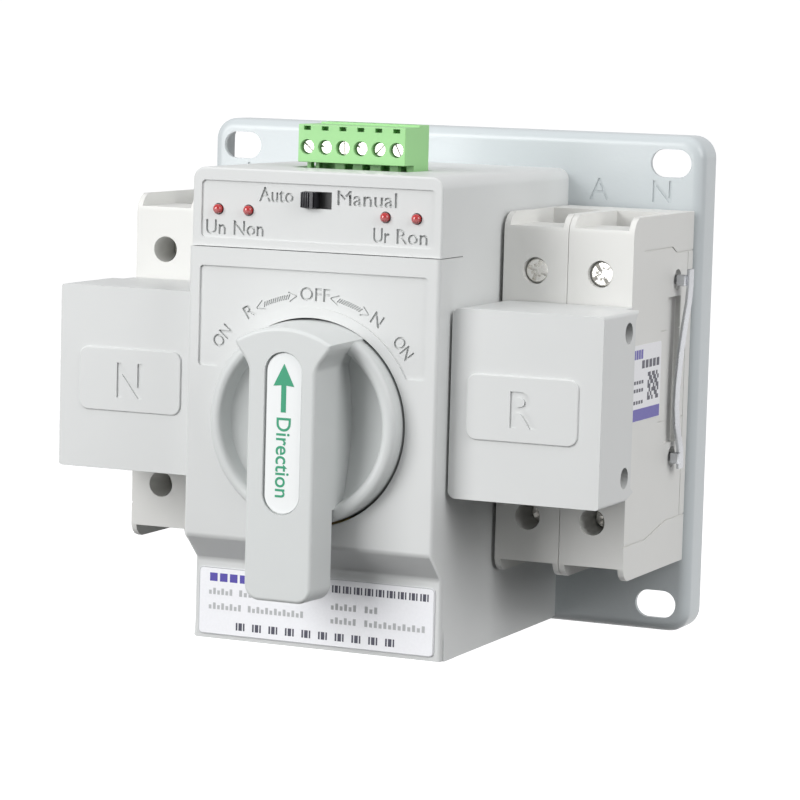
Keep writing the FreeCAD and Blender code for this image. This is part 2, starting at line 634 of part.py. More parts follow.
def rivets_and_clips(name, side):
    """Through rivets in the front holes, and a spring clip whose pins fill the rear holes."""
    outer = D.pole_first + D.pole_pitch + D.pole_half
    inner = D.pole_first - D.pole_half
    rivets = Piece(f"{name}_case_rivets")
    for height in (D.rivet_front_z, -D.rivet_front_z):
        place = (D.rivet_front_y, height)
        rivets.rod("x", place, 1.5, mirrored(side, inner, outer - 1.2))
        rivets.rod("x", place, 2.4, mirrored(side, outer - 1.2, outer - 0.7))
    clip = Piece(f"{name}_retaining_clip")
    strip_y = around(D.rivet_rear_y, 1.5)
    low, high = D.rivet_rear_low, D.rivet_rear_high
    face = outer + 4
    sign = 1 if side > 0 else -1
    flat = [(face, low - 3), (face, low), (face - 1.9, low + 7), (face - 1.9, high - 9),
            (face, high - 2), (face, high + 3)]
    strip = flat + [(across - 0.9, up) for across, up in reversed(flat)]
    turned = [(sign * across, up) for across, up in strip]
    clip.prism("XZ_Plane", turned[::-1] if sign < 0 else turned, strip_y)
    for height in (low, high):
        clip.rod("x", (D.rivet_rear_y, height), 1.3, mirrored(side, outer - 8, face - 0.5))


def breaker_label(name, side):
    face = D.pole_first + D.pole_pitch + D.pole_half
    label = Piece(f"{name}_breaker_label")
    label.box(mirrored(side, face, face + 0.15), (-57.2, -35.2), (-8, 14.4))


TIE_RADIUS = 1.6
FORK_PLAY = 0.35


def toggles(name, side):
    """Both toggles of a breaker and the bar that ties them, drawn pointing straight forward."""
    turn = FreeCAD.Rotation(FreeCAD.Vector(-1, 0, 0), D.toggle_rest.value)
    toggle = Piece(f"{name}_toggle", at=(0, D.toggle_y, 0), turn=turn)
    for pole in POLES:
        centre = pole_x(side, pole)
        toggle.rod("x", (0, 0), D.toggle_drum, around(centre, 3.5))
        toggle.box(around(centre, 3.5), (-D.toggle_reach, 0), (-2.2, 2.2))
    toggle.rod("x", (-D.tie_reach, 0), TIE_RADIUS, mirrored(side, 37.6, 68))
    toggle.rod("x", (0, 0), D.toggle_pin + D.running_fit, mirrored(side, 30, 80), cut=True)
    pin = Piece(f"{name}_toggle_pin")
    pin.rod("x", (D.toggle_y, 0), D.toggle_pin,
            mirrored(side, D.pole_first - D.pole_half, D.pole_first + D.pole_pitch + D.pole_half))


def drive_slide(name, side):
    """The slide that carries a breaker's tie bar up and down, with a fork round the bar."""
    rest = math.radians(D.toggle_rest.value)
    bar_y = D.toggle_y - D.tie_reach * math.cos(rest)
    bar_z = D.tie_reach * math.sin(rest)
    slide = Piece(f"{name}_drive_slide")
    front = D.toggle_y - D.tie_reach - TIE_RADIUS - 1.5
    slide.box(mirrored(side, 26.5, 41.2), (front, D.nose_front - 0.4), around(bar_z, 4.2))
    slide.box(mirrored(side, 36.4, 42), (front - 1, bar_y + TIE_RADIUS + FORK_PLAY),
              around(bar_z, TIE_RADIUS + FORK_PLAY), cut=True)


def linkage_cover(name, side):
    cover = Piece(f"{name}_linkage_cover")
    width = mirrored(side, D.linkage_inner, D.linkage_outer)
    cover.box(width, (D.linkage_front, D.linkage_rear), (D.linkage_low, D.linkage_high))
    cover.round(2.5, lambda edge: edge.BoundBox.YMax < D.linkage_front.value + 0.01)
    wall = D.linkage_wall
    inside = mirrored(side, D.linkage_inner + wall, D.linkage_outer - wall)
    cover.box(inside, (D.linkage_front + wall, D.linkage_rear + 1),
              (D.linkage_low + wall - 0.6, D.linkage_high - wall + 0.6), cut=True)
    outside = mirrored(side, D.linkage_outer - wall - 2.2, D.linkage_outer + 1)
    cover.box(outside, (D.linkage_side_rear, D.linkage_rear + 1),
              (D.linkage_low - 1, D.linkage_high + 1), cut=True)
    inner_side = mirrored(side, D.linkage_inner - 1, D.linkage_inner + wall + 0.1)
    cover.box(inner_side, (D.nose_front - 0.3, D.linkage_rear + 1),
              (D.linkage_low + wall - 0.6, D.linkage_high - wall + 0.6), cut=True)
    cover.box(inner_side, (ARM_WINDOW_Y[0], D.nose_front), ARM_WINDOW_Z, cut=True)
    badge = mirrored(side, D.badge_inner, D.badge_outer)
    cover.box(badge, (D.linkage_front - D.badge_relief, D.linkage_front + 1),
              (D.badge_low, D.badge_high))


def breakers():
    for name, side in SIDES:
        for place, pole in (("inner", 0), ("outer", 1)):
            pole_case(f"{name}_{place}_pole_case", side, pole)
        breaker_inside(name, side)
        rivets_and_clips(name, side)
        breaker_label(name, side)
        toggles(name, side)
        drive_slide(name, side)
        linkage_cover(name, side)


for build in (base_plate, rear_screws, mechanism_housing, front_cover, nameplate, panel_electronics,
              selector_knob, control_plug, rotary_handle, drive_train, breakers):
    build()
doc.recompute()

for item in doc.Objects:
    if "Invalid" in item.State or "Error" in item.State:
        raise RuntimeError(f"{item.Label}: {item.State}")
os.makedirs("parts", exist_ok=True)
for body in pieces:
    if body.Shape.isNull() or not body.Shape.isValid():
        raise RuntimeError(f"{body.Label} has no valid shape")
    body.Shape.exportStep(f"parts/{body.Label}.step")
    print(f"{body.Label}: {len(body.Shape.Solids)} solids, {body.Shape.Volume:.0f} mm3")
print(f"{len(pieces)} sub-parts")
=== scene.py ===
# %% [markdown]
# This lesson dresses a two-source changeover switch: a folded steel plate that carries a white
# mechanism housing with a big turn handle, and a two-pole breaker under a cover on each side.
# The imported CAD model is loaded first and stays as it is. The skins made here share its frame, and
# where it helps they take their extent from the CAD node they stand for. Finer features are given
# as plain numbers in millimetres in that same frame.

# %% Load the frame
import json
import math

import bmesh
import bpy
from mathutils import Matrix, Vector


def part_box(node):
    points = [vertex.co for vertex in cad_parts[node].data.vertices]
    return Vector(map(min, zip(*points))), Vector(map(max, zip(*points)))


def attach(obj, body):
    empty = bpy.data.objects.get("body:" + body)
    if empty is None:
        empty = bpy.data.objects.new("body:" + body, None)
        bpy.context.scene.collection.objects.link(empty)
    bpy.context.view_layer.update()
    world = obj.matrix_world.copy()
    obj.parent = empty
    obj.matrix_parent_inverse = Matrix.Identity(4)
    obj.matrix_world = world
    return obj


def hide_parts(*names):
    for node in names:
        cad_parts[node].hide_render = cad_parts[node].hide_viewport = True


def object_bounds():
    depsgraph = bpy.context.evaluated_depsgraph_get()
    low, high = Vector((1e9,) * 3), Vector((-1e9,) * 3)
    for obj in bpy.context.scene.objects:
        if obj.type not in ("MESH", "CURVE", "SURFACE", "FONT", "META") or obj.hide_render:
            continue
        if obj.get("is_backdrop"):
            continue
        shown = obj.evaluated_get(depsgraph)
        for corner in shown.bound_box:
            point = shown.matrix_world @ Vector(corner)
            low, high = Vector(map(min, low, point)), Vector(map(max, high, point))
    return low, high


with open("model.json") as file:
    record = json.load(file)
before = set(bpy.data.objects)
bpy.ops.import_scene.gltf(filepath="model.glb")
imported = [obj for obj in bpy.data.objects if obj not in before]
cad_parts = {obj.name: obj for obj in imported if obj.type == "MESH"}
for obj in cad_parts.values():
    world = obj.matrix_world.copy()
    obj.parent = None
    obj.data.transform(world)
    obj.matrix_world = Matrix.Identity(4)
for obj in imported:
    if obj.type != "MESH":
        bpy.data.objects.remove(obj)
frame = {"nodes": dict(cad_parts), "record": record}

cad_box = [list(corner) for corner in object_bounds()]
MM = 0.001
ROOT = "switch_frame"
SIDES = (("normal", -1), ("reserve", 1))
print("CAD box, mm:", [[round(value / MM, 1) for value in corner] for corner in cad_box])

# %% [markdown]
# The camera stands a little to the right of the switch and slightly above it, about 0.9 m away,
# with a long lens, as a product picture is taken. Turning the view by yaw, pitch and roll from
# three plain angles keeps it easy to change one of them.

# %% Camera
CAMERA_PLACE = Vector((0.3679, -0.8824, 0.0948))
YAW, PITCH, ROLL = math.radians(23.62), math.radians(-6.25), math.radians(1.58)
LENS_MM = 153.7


def camera_turn(yaw, pitch, roll):
    forward = Vector((-math.sin(yaw) * math.cos(pitch), math.cos(yaw) * math.cos(pitch),
                      math.sin(pitch)))
    level = Vector((math.cos(yaw), math.sin(yaw), 0))
    up = level.cross(forward)
    right = level * math.cos(roll) + up * math.sin(roll)
    upright = up * math.cos(roll) - level * math.sin(roll)
    return Matrix((right, upright, -forward)).transposed()


lens = bpy.data.cameras.new("camera")
lens.lens = LENS_MM
lens.sensor_width = 36
camera = bpy.data.objects.new("camera", lens)
camera.matrix_world = (Matrix.Translation(CAMERA_PLACE)
                       @ camera_turn(YAW, PITCH, ROLL).to_4x4())
bpy.context.scene.collection.objects.link(camera)
bpy.context.scene.camera = camera
print("camera looks down by", round(-math.degrees(PITCH), 2), "degrees")

# %% [markdown]
# The light is a white studio: a wide soft panel in front on the left, a weak one above, one on the
# right for the side walls, and a room that is bright overhead and fades to dark below. Undersides
# and deep gaps stay dark that way, which shows the shape of pale plastic on a pale ground.

# %% Studio
SCENE = bpy.context.scene
SCENE.view_settings.view_transform = "Standard"
BRIGHT_SIDE = Vector((0.05, 0.10, 1.0)).normalized()
ROOM_SHADES = ((0.36, 0.015), (0.50, 0.19), (0.70, 0.60), (1.0, 0.66))


def area_light(name, place, aim, size, watts):
    lamp = bpy.data.lights.new(name, "AREA")
    lamp.shape = "RECTANGLE"
    lamp.size, lamp.size_y = size
    lamp.energy = watts
    holder = bpy.data.objects.new(name, lamp)
    direction = Vector(aim) - Vector(place)
    holder.matrix_world = (Matrix.Translation(place)
                           @ direction.to_track_quat("-Z", "Y").to_matrix().to_4x4())
    SCENE.collection.objects.link(holder)


def room_light():
    """A world whose brightness rises evenly from its dark side to its bright side."""
    world = bpy.data.worlds.new("studio")
    SCENE.world = world
    world.use_nodes = True
    nodes, links = world.node_tree.nodes, world.node_tree.links
    place = nodes.new("ShaderNodeTexCoord")
    facing = nodes.new("ShaderNodeVectorMath")
    facing.operation = "DOT_PRODUCT"
    facing.inputs[1].default_value = BRIGHT_SIDE
    shades = nodes.new("ShaderNodeValToRGB")
    for position, _ in ROOM_SHADES[2:]:
        shades.color_ramp.elements.new(position)
    for element, (position, grey) in zip(shades.color_ramp.elements, ROOM_SHADES):
        element.position = position
        element.color = (grey, grey, grey * 1.01, 1)
    spread = nodes.new("ShaderNodeMapRange")
    spread.inputs["From Min"].default_value = -1
    links.new(place.outputs["Generated"], facing.inputs[0])
    links.new(facing.outputs["Value"], spread.inputs["Value"])
    links.new(spread.outputs["Result"], shades.inputs["Fac"])
    links.new(shades.outputs["Color"], nodes["Background"].inputs["Color"])


area_light("key_left", (-0.9, -1.5, 0.55), (0, -0.05, 0), (1.1, 1.2), 28)
area_light("high_fill", (0.5, -0.2, 1.5), (0, -0.05, 0), (1.2, 1.2), 2)
area_light("right_soft", (1.5, -0.45, 0.75), (0, -0.05, 0), (0.9, 1.2), 13)
room_light()

# %% [markdown]
# A finish is a small network of nodes. Two helpers keep each one readable: Sock wraps a socket so
# that shader maths is written as Python sums, and Finish makes nodes of any type from one call.

# %% Shader helpers
class Sock:
    """One output socket; sums on it add Math nodes."""

    def __init__(self, finish, socket):
        self.finish = finish
        self.socket = socket

    def _math(self, operation, *values):
        return self.finish.node("ShaderNodeMath", {"operation": operation}, dict(enumerate(values)))

    def __add__(self, other):
        return self._math("ADD", self, other)

    def __mul__(self, other):
        return self._math("MULTIPLY", self, other)

    __radd__ = __add__
    __rmul__ = __mul__


class Finish:
    """A material, its Principled shader and a way to add nodes to it."""

    def __init__(self, name, color, roughness, metallic=0.0, **constants):
        self.material = bpy.data.materials.new(name)
        self.material.use_nodes = True
        self.tree = self.material.node_tree
        self.shader = self.tree.nodes["Principled BSDF"]
        self.set("Base Color", (*color, 1))
        self.set("Roughness", roughness)
        self.set("Metallic", metallic)
        for socket, value in constants.items():
            self.set(socket.replace("_", " "), value)
        self.object_place = self.node("ShaderNodeTexCoord", {}, {}, "Object")

    def node(self, kind, settings, values, output=0):
        made = self.tree.nodes.new(kind)
        for key, value in settings.items():
            if key == "stops":
                ramp = made.color_ramp
                for position, shade in value[2:]:
                    ramp.elements.new(position)
                for element, (position, shade) in zip(ramp.elements, value):
                    element.position = position
                    element.color = shade if isinstance(shade, tuple) else (shade, shade, shade, 1)
            else:
                setattr(made, key, value)
        for key, value in values.items():
            self._feed(made.inputs[key], value)
        return Sock(self, made.outputs[output])

    def _feed(self, socket, value):
        if isinstance(value, Sock):
            self.tree.links.new(value.socket, socket)
        else:
            socket.default_value = value

    def set(self, socket, value):
        self._feed(self.shader.inputs[socket], value)

    def noise(self, size_mm, detail=2.0):
        """Noise whose features are about size_mm across."""
        return self.node("ShaderNodeTexNoise", {}, {"Vector": self.object_place,
                         "Scale": 1 / (size_mm * MM), "Detail": detail})

    def mix(self, amount, first, second):
        return self.node("ShaderNodeMix", {"data_type": "RGBA"},
                         {0: amount, 6: first, 7: second}, 2)

    def ramp(self, value, *stops):
        return self.node("ShaderNodeValToRGB", {"stops": stops}, {"Fac": value})

    def bump(self, height, depth_mm, strength=1.0):
        normal = self.node("ShaderNodeBump", {}, {"Height": height, "Distance": depth_mm * MM,
                           "Strength": strength})
        self.set("Normal", normal)


def shade(color, factor):
    return tuple(min(1, channel * factor) for channel in color) + (1,)


# %% [markdown]
# The housing, covers, handle and breakers are moulded ABS or polyamide. Their tools are spark
# eroded, which leaves a very fine even grain, and large areas sink and shine slightly unevenly. So
# the recipe has two layers of noise: grain at a third of a millimetre for the bump, and a cloud of
# a few centimetres that shifts colour and roughness by a little.

# %% Moulded plastic
def moulded(name, color, roughness=0.42, grain_mm=0.28, grain_depth=0.012, cloud=0.035):
    finish = Finish(name, color, roughness, Specular_IOR_Level=0.42)
    grain = finish.noise(grain_mm, 3)
    clouds = finish.noise(24, 2)
    tone = finish.mix(clouds, shade(color, 1 - cloud), shade(color, 1 + cloud))
    finish.set("Base Color", tone)
    finish.set("Roughness", clouds * 0.10 + grain * 0.06 + (roughness - 0.08))
    finish.bump(grain, grain_depth)
    return finish.material


HOUSING = moulded("housing_plastic", (0.66, 0.672, 0.668))
HANDLE = moulded("handle_plastic", (0.63, 0.650, 0.645), 0.36, 0.22, 0.006)
BREAKER = moulded("breaker_plastic", (0.73, 0.73, 0.708), 0.44, 0.32, 0.014)
BLACK = moulded("black_plastic", (0.012, 0.012, 0.013), 0.38, 0.25, 0.01, 0.1)
GREEN = moulded("terminal_green", (0.30, 0.60, 0.245), 0.40, 0.25, 0.008, 0.06)
TOGGLE = moulded("toggle_plastic", (0.03, 0.03, 0.035), 0.30)
ACETAL = moulded("gear_plastic", (0.80, 0.77, 0.66), 0.40)
INSERT = moulded("insert_white", (0.86, 0.88, 0.88), 0.30, 0.5, 0.003, 0.02)

# %% [markdown]
# Powder coat on the plate melts into a skin with a slow ripple, called orange peel, and a few
# finer specks. The ripple is what breaks up a reflection, so it goes into the bump.

# %% Powder coat
def powder_coat(name, color):
    finish = Finish(name, color, 0.34, Specular_IOR_Level=0.5, Coat_Weight=0.12, Coat_Roughness=0.2)
    peel = finish.noise(1.1, 2)
    specks = finish.noise(0.25, 2)
    clouds = finish.noise(30, 2)
    finish.set("Base Color", finish.mix(clouds, shade(color, 0.975), shade(color, 1.025)))
    finish.set("Roughness", specks * 0.10 + 0.27)
    finish.bump(peel * 0.8 + specks * 0.2, 0.035)
    return finish.material


PLATE = powder_coat("plate_paint", (0.55, 0.592, 0.608))

# %% [markdown]
# Metals: nickel-plated screws are bright with fine handling scratches, zinc-plated sheet is duller
# with a mottled spangle, and the spring strip shows the long grain of its rolling. One recipe
# covers them with a stretched noise for the scratches.

# %% Metals
def metal(name, color, roughness, scratch=(1, 1, 1), mottle=0.1, depth=0.004):
    finish = Finish(name, color, roughness, 1.0)
    lay = finish.node("ShaderNodeMapping", {}, {"Vector": finish.object_place, "Scale": scratch})
    lines = finish.node("ShaderNodeTexNoise", {}, {"Vector": lay, "Scale": 2600.0, "Detail": 3.0})
    blotch = finish.noise(3.5, 3)
    finish.set("Base Color", finish.mix(blotch, shade(color, 1 - mottle), shade(color, 1 + mottle)))
    finish.set("Roughness", lines * 0.16 + blotch * 0.12 + (roughness - 0.14))
    finish.bump(lines, depth)
    return finish.material


NICKEL = metal("nickel_steel", (0.72, 0.71, 0.68), 0.24)
ZINC = metal("zinc_steel", (0.63, 0.64, 0.66), 0.38, mottle=0.2)
SPRING = metal("spring_steel", (0.50, 0.51, 0.53), 0.26, scratch=(6, 6, 0.4), mottle=0.06)
BRASS = metal("brass_metal", (0.72, 0.55, 0.27), 0.32)
COPPER = metal("copper_metal", (0.72, 0.38, 0.22), 0.34)
CAN = metal("motor_steel", (0.50, 0.51, 0.53), 0.36, scratch=(1, 0.2, 1))

# %% [markdown]
# The small finishes: printed foil for the nameplate, glossy film for the side label, flat ink,
# tinted lamp caps and a circuit board. Inks are near-black or coloured films, so they are kept a
# little rough and take a trace of mottle from uneven printing.

# %% Labels, inks, lamps and boards
def printed(name, color, roughness=0.45, metallic=0.0, mottle=0.04):
    finish = Finish(name, color, roughness, metallic)
    film = finish.noise(0.6, 3)
    finish.set("Base Color", finish.mix(film, shade(color, 1 - mottle), shade(color, 1 + mottle)))
    finish.set("Roughness", film * 0.12 + (roughness - 0.06))
    finish.bump(film, 0.003)
    return finish.material


FOIL = printed("label_silver", (0.76, 0.765, 0.79), 0.36, 0.15)
FILM = printed("label_white", (0.83, 0.83, 0.86), 0.30)
VIOLET_INK = printed("violet_ink", (0.055, 0.035, 0.34), 0.35)
DARK_INK = printed("dark_ink", (0.035, 0.035, 0.06), 0.4)
GREY_INK = printed("grey_ink", (0.46, 0.47, 0.48), 0.5)
GREEN_INK = printed("green_ink", (0.0, 0.27, 0.13), 0.38)
BOARD = printed("circuit_board", (0.03, 0.17, 0.08), 0.32, mottle=0.25)


def lamp_cap(name, color):
    finish = Finish(name, color, 0.10, Coat_Weight=1.0, Coat_Roughness=0.03)
    haze = finish.noise(0.8, 2)
    finish.set("Base Color", finish.mix(haze, shade(color, 0.75), shade(color, 1.25)))
    finish.bump(haze, 0.004)
    return finish.material


LAMP = lamp_cap("lamp_red", (0.46, 0.006, 0.008))


def studio_white(name, color):
    finish = Finish(name, color, 0.9, Emission_Color=(1, 1, 1, 1), Emission_Strength=0.5)
    finish.set("Base Color", finish.mix(finish.noise(400), shade(color, 0.99), shade(color, 1.01)))
    return finish.material


FLOOR = studio_white("studio_floor", (0.9, 0.9, 0.9))
FINISH_OF = {
    "zinc_steel": ZINC, "spring_steel": SPRING, "nickel_steel": NICKEL, "brass_metal": BRASS,
    "copper_metal": COPPER, "motor_steel": CAN, "circuit_board": BOARD, "black_plastic": BLACK,
    "toggle_plastic": TOGGLE, "gear_plastic": ACETAL, "breaker_plastic": BREAKER,
    "housing_plastic": HOUSING, "handle_plastic": HANDLE, "plate_paint": PLATE, "lamp_red": LAMP,
    "terminal_green": GREEN, "label_silver": FOIL, "label_white": FILM, "insert_white": INSERT}
print("finishes:", len(bpy.data.materials))

# %% [markdown]
# Hard-surface parts are drawn in millimetres and scaled to metres when they are published. A part
# starts as a block or a short profile, its large radii are bevelled, and windows, recesses and
# sunk letters are cut with an exact boolean, as a mould's core and cavity would form them. The
# edges that are left sharp then get a small bevel, because no moulded edge is really sharp.

# %% Mesh helpers
def node_box(node):
    """A CAD node's lowest and highest corner, in millimetres."""
    return [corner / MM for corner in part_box(node)]


def slab(low, high):
    mesh = bmesh.new()
    bmesh.ops.create_cube(mesh, size=1)
    low, high = Vector(low), Vector(high)
    bmesh.ops.scale(mesh, vec=high - low, verts=mesh.verts)
    bmesh.ops.translate(mesh, vec=(low + high) / 2, verts=mesh.verts)
    return mesh


TURN_TO = {"x": Matrix.Rotation(math.radians(90), 3, "Y"),
           "y": Matrix.Rotation(math.radians(-90), 3, "X"), "z": Matrix.Identity(3)}


def rod(axis, centre, radius, span, sides=48, tip=None):
    """A round bar along one axis; centre is a point on it, span its ends along that axis."""
    mesh = bmesh.new()
    bmesh.ops.create_cone(mesh, cap_ends=True, segments=sides, radius1=radius,
                          radius2=radius if tip is None else tip, depth=span[1] - span[0])
    bmesh.ops.rotate(mesh, matrix=TURN_TO[axis], cent=(0, 0, 0), verts=mesh.verts)
    place = Vector(centre)
    place["xyz".index(axis)] = (span[0] + span[1]) / 2
    bmesh.ops.translate(mesh, vec=place, verts=mesh.verts)
    return mesh


def runs(edge, axis):
    direction = edge.verts[1].co - edge.verts[0].co
    return abs(direction["xyz".index(axis)]) > 0.999 * direction.length


def middle(edge):
    return (edge.verts[0].co + edge.verts[1].co) / 2


def bevel(mesh, edges, radius, segments=4):
    bmesh.ops.bevel(mesh, geom=list(edges), offset=radius, offset_type="OFFSET", affect="EDGES",
                    segments=segments, profile=0.5, material=-1, clamp_overlap=True)
    return mesh


def round_axis(mesh, axis, radius, segments=6, test=None):
    """Rounds the edges that run along one axis and pass a test on their middle."""
    return bevel(mesh, [edge for edge in mesh.edges
                        if runs(edge, axis) and (test is None or test(middle(edge)))],
                 radius, segments)


def round_face(mesh, axis, place, radius, segments=4):
    """Rounds every edge that lies in the plane axis = place."""
    index = "xyz".index(axis)
    return bevel(mesh, [edge for edge in mesh.edges
                        if all(abs(vert.co[index] - place) < 0.01 for vert in edge.verts)],
                 radius, segments)


def soften(mesh, radius=0.25, segments=2, angle=38, test=None):
    """A small bevel on every edge that is still sharp."""
    limit = math.radians(angle)
    return bevel(mesh, [edge for edge in mesh.edges
                        if len(edge.link_faces) == 2 and edge.calc_face_angle(0) > limit
                        and (test is None or test(middle(edge)))],
                 radius, segments)


def rounded(low, high, axis, corner, segments=6):
    """A slab whose edges along one axis are rounded."""
    return round_axis(slab(low, high), axis, corner, segments)


def as_object(mesh, name="tool"):
    data = bpy.data.meshes.new(name)
    mesh.to_mesh(data)
    mesh.free()
    piece = bpy.data.objects.new(name, data)
    SCENE.collection.objects.link(piece)
    return piece


def combine(mesh, tools, operation, crossing=False):
    """An exact boolean of one mesh with several others; crossing lets a tool cut through itself."""
    body = as_object(mesh)
    holders = [as_object(tool) for tool in tools]
    for holder in holders:
        step = body.modifiers.new("step", "BOOLEAN")
        step.solver = "EXACT"
        step.use_self = crossing
        step.operation = operation
        step.object = holder
    result = bmesh.new()
    result.from_object(body, bpy.context.evaluated_depsgraph_get())
    for holder in holders + [body]:
        data = holder.data
        bpy.data.objects.remove(holder)
        bpy.data.meshes.remove(data)
    bmesh.ops.remove_doubles(result, verts=result.verts, dist=0.0005)
    bmesh.ops.dissolve_degenerate(result, edges=result.edges, dist=0.0005)
    return result


def carve(mesh, *tools, crossing=False):
    return combine(mesh, tools, "DIFFERENCE", crossing)


def weld(mesh, *tools):
    return combine(mesh, tools, "UNION")


def together(*meshes):
    """Loose meshes gathered into one, without joining their faces."""
    whole = bmesh.new()
    for mesh in meshes:
        data = bpy.data.meshes.new("part")
        mesh.to_mesh(data)
        mesh.free()
        whole.from_mesh(data)
        bpy.data.meshes.remove(data)
    return whole


def outline_prism(corners, axis, span):
    """An outline of two coordinates carried along the third axis."""
    mesh = bmesh.new()
    index = "xyz".index(axis)
    verts = []
    for corner in corners:
        place = list(corner)
        place.insert(index, span[0])
        verts.append(mesh.verts.new(place))
    face = mesh.faces.new(verts)
    swept = bmesh.ops.extrude_face_region(mesh, geom=[face])
    step = Vector((0, 0, 0))
    step[index] = span[1] - span[0]
    bmesh.ops.translate(mesh, vec=step,
                        verts=[item for item in swept["geom"] if isinstance(item, bmesh.types.BMVert)])
    bmesh.ops.recalc_face_normals(mesh, faces=mesh.faces)
    return mesh


def arc(centre, radius, start, end, steps):
    """Points along an arc, angles in degrees from +x towards +z."""
    turns = [math.radians(start + (end - start) * step / steps) for step in range(steps + 1)]
    return [(centre[0] + radius * math.cos(turn), centre[1] + radius * math.sin(turn))
            for turn in turns]


def spun(points, centre, axis, steps, closed=False):
    """A chain of points turned a full circle about an axis through centre."""
    mesh = bmesh.new()
    verts = [mesh.verts.new(point) for point in points]
    ends = verts[1:] + verts[:1] if closed else verts[1:]
    edges = [mesh.edges.new(pair) for pair in zip(verts, ends)]
    bmesh.ops.spin(mesh, geom=verts + edges, cent=centre, axis=axis, angle=math.tau,
                   steps=steps, use_merge=True)
    bmesh.ops.remove_doubles(mesh, verts=mesh.verts, dist=0.001)
    bmesh.ops.recalc_face_normals(mesh, faces=mesh.faces)
    return mesh


def swing(mesh, degrees, place):
    """Turns a mesh about the y axis and then moves it to its place."""
    bmesh.ops.rotate(mesh, matrix=Matrix.Rotation(math.radians(degrees), 3, "Y"), cent=(0, 0, 0),
                     verts=mesh.verts)
    bmesh.ops.translate(mesh, vec=place, verts=mesh.verts)
    return mesh


def span_of(side, near, far):
    """Low and high x of a span given outward from the middle."""
    return (near, far) if side > 0 else (-far, -near)


SHARP_ANGLE = math.radians(32)


def publish(mesh, name, slot, *nodes, body=ROOT, finish=None):
    """Turns a finished millimetre mesh into a piece that rides on a body and stands for nodes."""
    bmesh.ops.scale(mesh, vec=(MM, MM, MM), verts=mesh.verts)
    for face in mesh.faces:
        face.smooth = True
    piece = as_object(mesh, name)
    piece.data.set_sharp_from_angle(angle=SHARP_ANGLE)
    piece.data.materials.append(finish or FINISH_OF[slot])
    weigh = piece.modifiers.new("weigh", "WEIGHTED_NORMAL")
    weigh.keep_sharp = True
    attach(piece, body)
    if nodes:
        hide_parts(*nodes)
    print(f"{name}: {len(piece.data.polygons)} faces")
    return piece


# %% [markdown]
# Legends on this switch are function words only. Each is Blender's own font turned into a solid:
# the letters are made flat, thickened, stood up to face the front, and put in place as a mesh.

# %% Lettering
def lettering(text, cap, across, up, front, depth, turn=0, width=None, bold=0.0):
    """Solid letters about (across, up), from y = front inwards by depth; cap is their height,
    and bold widens every stroke."""
    curve = bpy.data.curves.new("letters", "FONT")
    curve.body = text
    curve.align_x = "CENTER"
    curve.extrude = 0.5
    curve.offset = bold
    curve.resolution_u = 5
    holder = bpy.data.objects.new("letters", curve)
    SCENE.collection.objects.link(holder)
    drawn = bpy.data.meshes.new_from_object(holder.evaluated_get(bpy.context.evaluated_depsgraph_get()))
    mesh = bmesh.new()
    mesh.from_mesh(drawn)
    bpy.data.meshes.remove(drawn)
    bpy.data.objects.remove(holder)
    bpy.data.curves.remove(curve)
    tall = max(vert.co.y for vert in mesh.verts)
    wide = max(vert.co.x for vert in mesh.verts) - min(vert.co.x for vert in mesh.verts)
    scale = cap / tall
    stretch = scale if width is None else width / wide
    bmesh.ops.scale(mesh, vec=(stretch, scale, depth), verts=mesh.verts)
    bmesh.ops.remove_doubles(mesh, verts=mesh.verts, dist=0.0005)
    bmesh.ops.translate(mesh, vec=(0, -cap / 2, 0), verts=mesh.verts)
    bmesh.ops.rotate(mesh, matrix=Matrix.Rotation(math.radians(90), 3, "X"), cent=(0, 0, 0),
                     verts=mesh.verts)
    return swing(mesh, turn, (across, front + depth / 2, up))


# %% [markdown]
# The base plate is a sheet whose four edges are folded back, so it is a shallow tray seen from
# behind. A rounded block with a second, smaller one cut from its back gives an even sheet with
# true bends. The corner slots are cut with blocks rounded to half circles, and the letters that
# mark the conductors are stamped a little way in.

# %% Base plate
PLATE_GAUGE, PLATE_CORNER, PLATE_BEND = 1.5, 6, 3
plate_low, plate_high = node_box("base_plate")
slots = [mount for mount in frame["record"]["mounts"] if mount["name"] == "mounting_slots"][0]["dims"]


def base_plate():
    tray = rounded(plate_low, plate_high, "y", PLATE_CORNER, 8)
    round_face(tray, "y", plate_low.y, PLATE_BEND, 5)
    wall = Vector((PLATE_GAUGE, 0, PLATE_GAUGE))
    inner_low = plate_low + wall + Vector((0, PLATE_GAUGE, 0))
    inner_high = plate_high - wall + Vector((0, 2, 0))
    core = rounded(inner_low, inner_high, "y", PLATE_CORNER - PLATE_GAUGE, 8)
    round_face(core, "y", inner_low.y, PLATE_BEND - PLATE_GAUGE, 4)
    cuts = [core]
    radius, length = slots["hole_r_mm"], slots["slot_length_mm"]
    for across in (-1, 1):
        for up in (-1, 1):
            x, z = across * slots["spacing_x_mm"] / 2, up * slots["spacing_y_mm"] / 2
            cuts.append(rounded((x - length / 2, plate_low.y - 1, z - radius),
                                (x + length / 2, inner_low.y + 1, z + radius),
                                "y", radius * 0.999, 10))
    for text, across in (("A", -62), ("N", -44.4), ("A", 44), ("N", 62)):
        cuts.append(lettering(text, 5.8, across, 52.3, plate_low.y - 0.1, 0.45))
    tray = carve(tray, *cuts)
    soften(tray, 0.18, 2, 60)
    return publish(tray, "base_plate_skin", "plate_paint", "base_plate")


base_plate()


# %% [markdown]
# The housing is one moulding: a five-sided box, open where it meets the plate, with a full-height
# upper panel and a lower part that stands back to make room for the front cover. Its foot flares a
# little. The panel's field is sunk and carries the legends of the lamps and of the selector.

